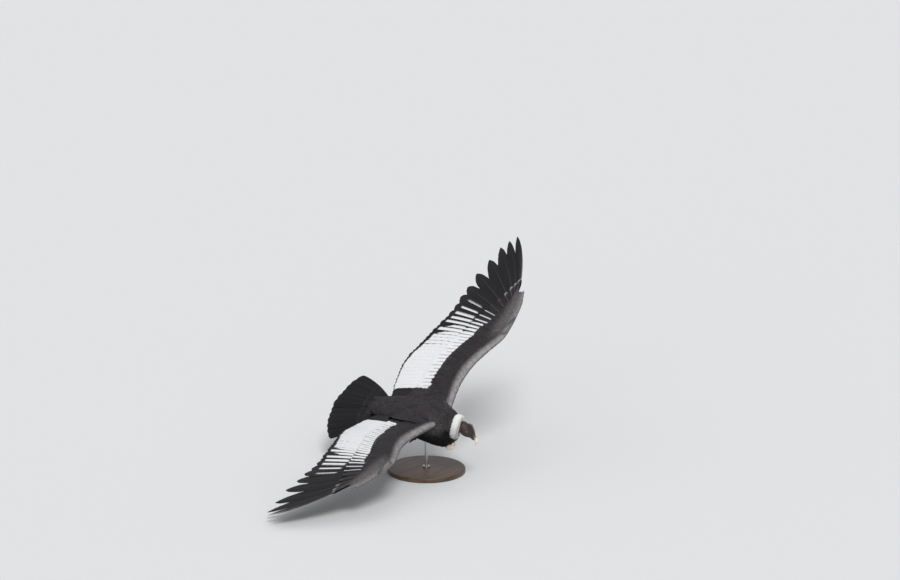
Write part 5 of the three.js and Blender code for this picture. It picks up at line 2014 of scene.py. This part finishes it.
skinPiece()
bothSides = ((1, "left"), (-1, "right"))
for side, label in bothSides:
    draws = np.random.default_rng(21)
    big = [remiges(draws), greaterCoverts(1, draws), greaterCoverts(-1, draws)]
    little = smallCoverts(1, draws) + smallCoverts(-1, draws)
    little += [medianCoverts(1, draws), medianCoverts(-1, draws), alulaFeathers(draws)]
    solids = [f"wing_{label}_arm", f"wing_{label}_hand"]
    for groups, name, material in ((big, "flight", flightMaterial), (little, "coverts", coatMaterial)):
        for group in groups:
            group["points"] = turnWing(group["points"], side)
        addFeathers(f"wing_{label}_{name}", groups, material, solids, side < 0)

tailGroups = tailFeathers(np.random.default_rng(5))
addFeathers("tail_feathers", tailGroups, flightMaterial, ["tail"])

bodyTree = BVHTree.FromPolygons(bodySkin[0].tolist(), bodySkin[1].tolist())
addFeathers("scapulars", scapularFeathers(np.random.default_rng(14)), coatMaterial)
coat = contourCoat(*bodySkin, bodyTree, np.random.default_rng(9))
addFeathers("body_feathers", [coat], coatMaterial, ["torso", "thigh_left", "thigh_right"])

addFeathers("ruff_down", ruffLocks(np.random.default_rng(3)), downMaterial, ["ruff"])


def clawColour(points):
    return np.repeat(skin["claw"][None], len(points), 0)


horn = hornMaterial()
for label, rings in (("upper", upperBill()), ("lower", lowerBill())):
    name = f"bill_{label}_horn"
    addPiece(name, ringMesh(name, rings, hornColour), horn, [f"bill_{label}"])
eyeGloss = eyeMaterial()
for side, label in bothSides:
    name = f"eye_ball_{label}"
    addPiece(name, ringMesh(name, eyeBall(side), eyeColour(side)), eyeGloss, [f"eye_{label}"])
for n, rings in enumerate(clawParts()):
    for side, label in bothSides:
        name = f"claw_{label}_{n + 1}"
        addPiece(name, ringMesh(name, rings if side > 0 else mirrorX(rings), clawColour), horn)
addFeathers("leg_scutes", scutes(np.random.default_rng(2)), coatMaterial)


# stand
for nodeName, material, slotName in (
    ("stand_base", woodMaterial(), "stand_wood"),
    ("stand_collar", metalMaterial(), "stand_metal"),
    ("stand_rod", bpy.data.materials["satinSteel"], "stand_metal"),
):
    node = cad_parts[nodeName]
    node.data.materials.clear()
    node.data.materials.append(material)

# floor, lights and camera
studio = {
    "floorSize": 320,
    "floorColour": (0.78, 0.78, 0.78, 1),
    "world": (0.95, 0.97, 1.0, 1),
    "worldStrength": 0.5,
    # azimuth, elevation, spread and strength
    "lights": {"key": (-42, 50, 20, 1.6), "fill": (-62, 14, 60, 0.55), "rim": (120, 50, 30, 0.25)},
}
bpy.ops.object.select_all(action="DESELECT")
bpy.ops.mesh.primitive_plane_add(size=studio["floorSize"], location=(0, 0, -0.0005))
floor = bpy.context.object
floor.name = "floor"
floorMaterial, floorTree, floorShader = startMaterial("paleFloor", Roughness=0.9, Specular_IOR_Level=0.1)
floorShader.inputs["Base Color"].default_value = studio["floorColour"]
floor.data.materials.append(floorMaterial)

world = bpy.data.worlds.new("studio")
bpy.context.scene.world = world
world.use_nodes = True
world.node_tree.nodes["Background"].inputs["Color"].default_value = studio["world"]
world.node_tree.nodes["Background"].inputs["Strength"].default_value = studio["worldStrength"]

bpy.context.scene.view_settings.view_transform = "Standard"



def towards(azimuth, elevation):
    # the way from the model to something at this azimuth and elevation, in degrees
    a, e = math.radians(azimuth), math.radians(elevation)
    return Vector((math.sin(a) * math.cos(e), -math.cos(a) * math.cos(e), math.sin(e)))


for label, (azimuth, elevation, opening, strength) in studio["lights"].items():
    lamp = bpy.data.lights.new(label, "SUN")
    lamp.angle, lamp.energy = math.radians(opening), strength
    thing = bpy.data.objects.new(label, lamp)
    bpy.context.scene.collection.objects.link(thing)
    way = towards(azimuth, elevation)
    thing.location = way * 6
    thing.rotation_euler = (-way).to_track_quat("-Z", "Y").to_euler()

# the photograph's view: a point of the body lies at its pixel
view = {
    "azimuth": -52,
    "elevation": 18,
    "image": (900, 580),
    "point": Vector((-0.0397, -0.190, 0.432)),
    "pixel": (446, 414),
    "scale": 157.0,  # pixels for a metre at the point
    "distance": 100.0,
    "sensor": 36,
}
turn = math.radians(view["azimuth"])
backward = towards(view["azimuth"], view["elevation"])
rightward = Vector((math.cos(turn), math.sin(turn), 0))
upward = backward.cross(rightward)
imageWidth, imageHeight = view["image"]
pixelsRight, pixelsUp = imageWidth / 2 - view["pixel"][0], view["pixel"][1] - imageHeight / 2
offset = rightward * pixelsRight / view["scale"] + upward * pixelsUp / view["scale"]
camera = bpy.data.objects.new("camera", bpy.data.cameras.new("camera"))
bpy.context.scene.collection.objects.link(camera)
camera.location = view["point"] + backward * view["distance"]
look = view["point"] + offset - camera.location
camera.rotation_euler = look.to_track_quat("-Z", "Y").to_euler()
camera.data.lens = view["sensor"] * view["scale"] * view["distance"] / imageWidth
camera.data.clip_start, camera.data.clip_end = 1, 1000
bpy.context.scene.camera = camera

print("the whole model has", sum(triangles.values()), "triangles")
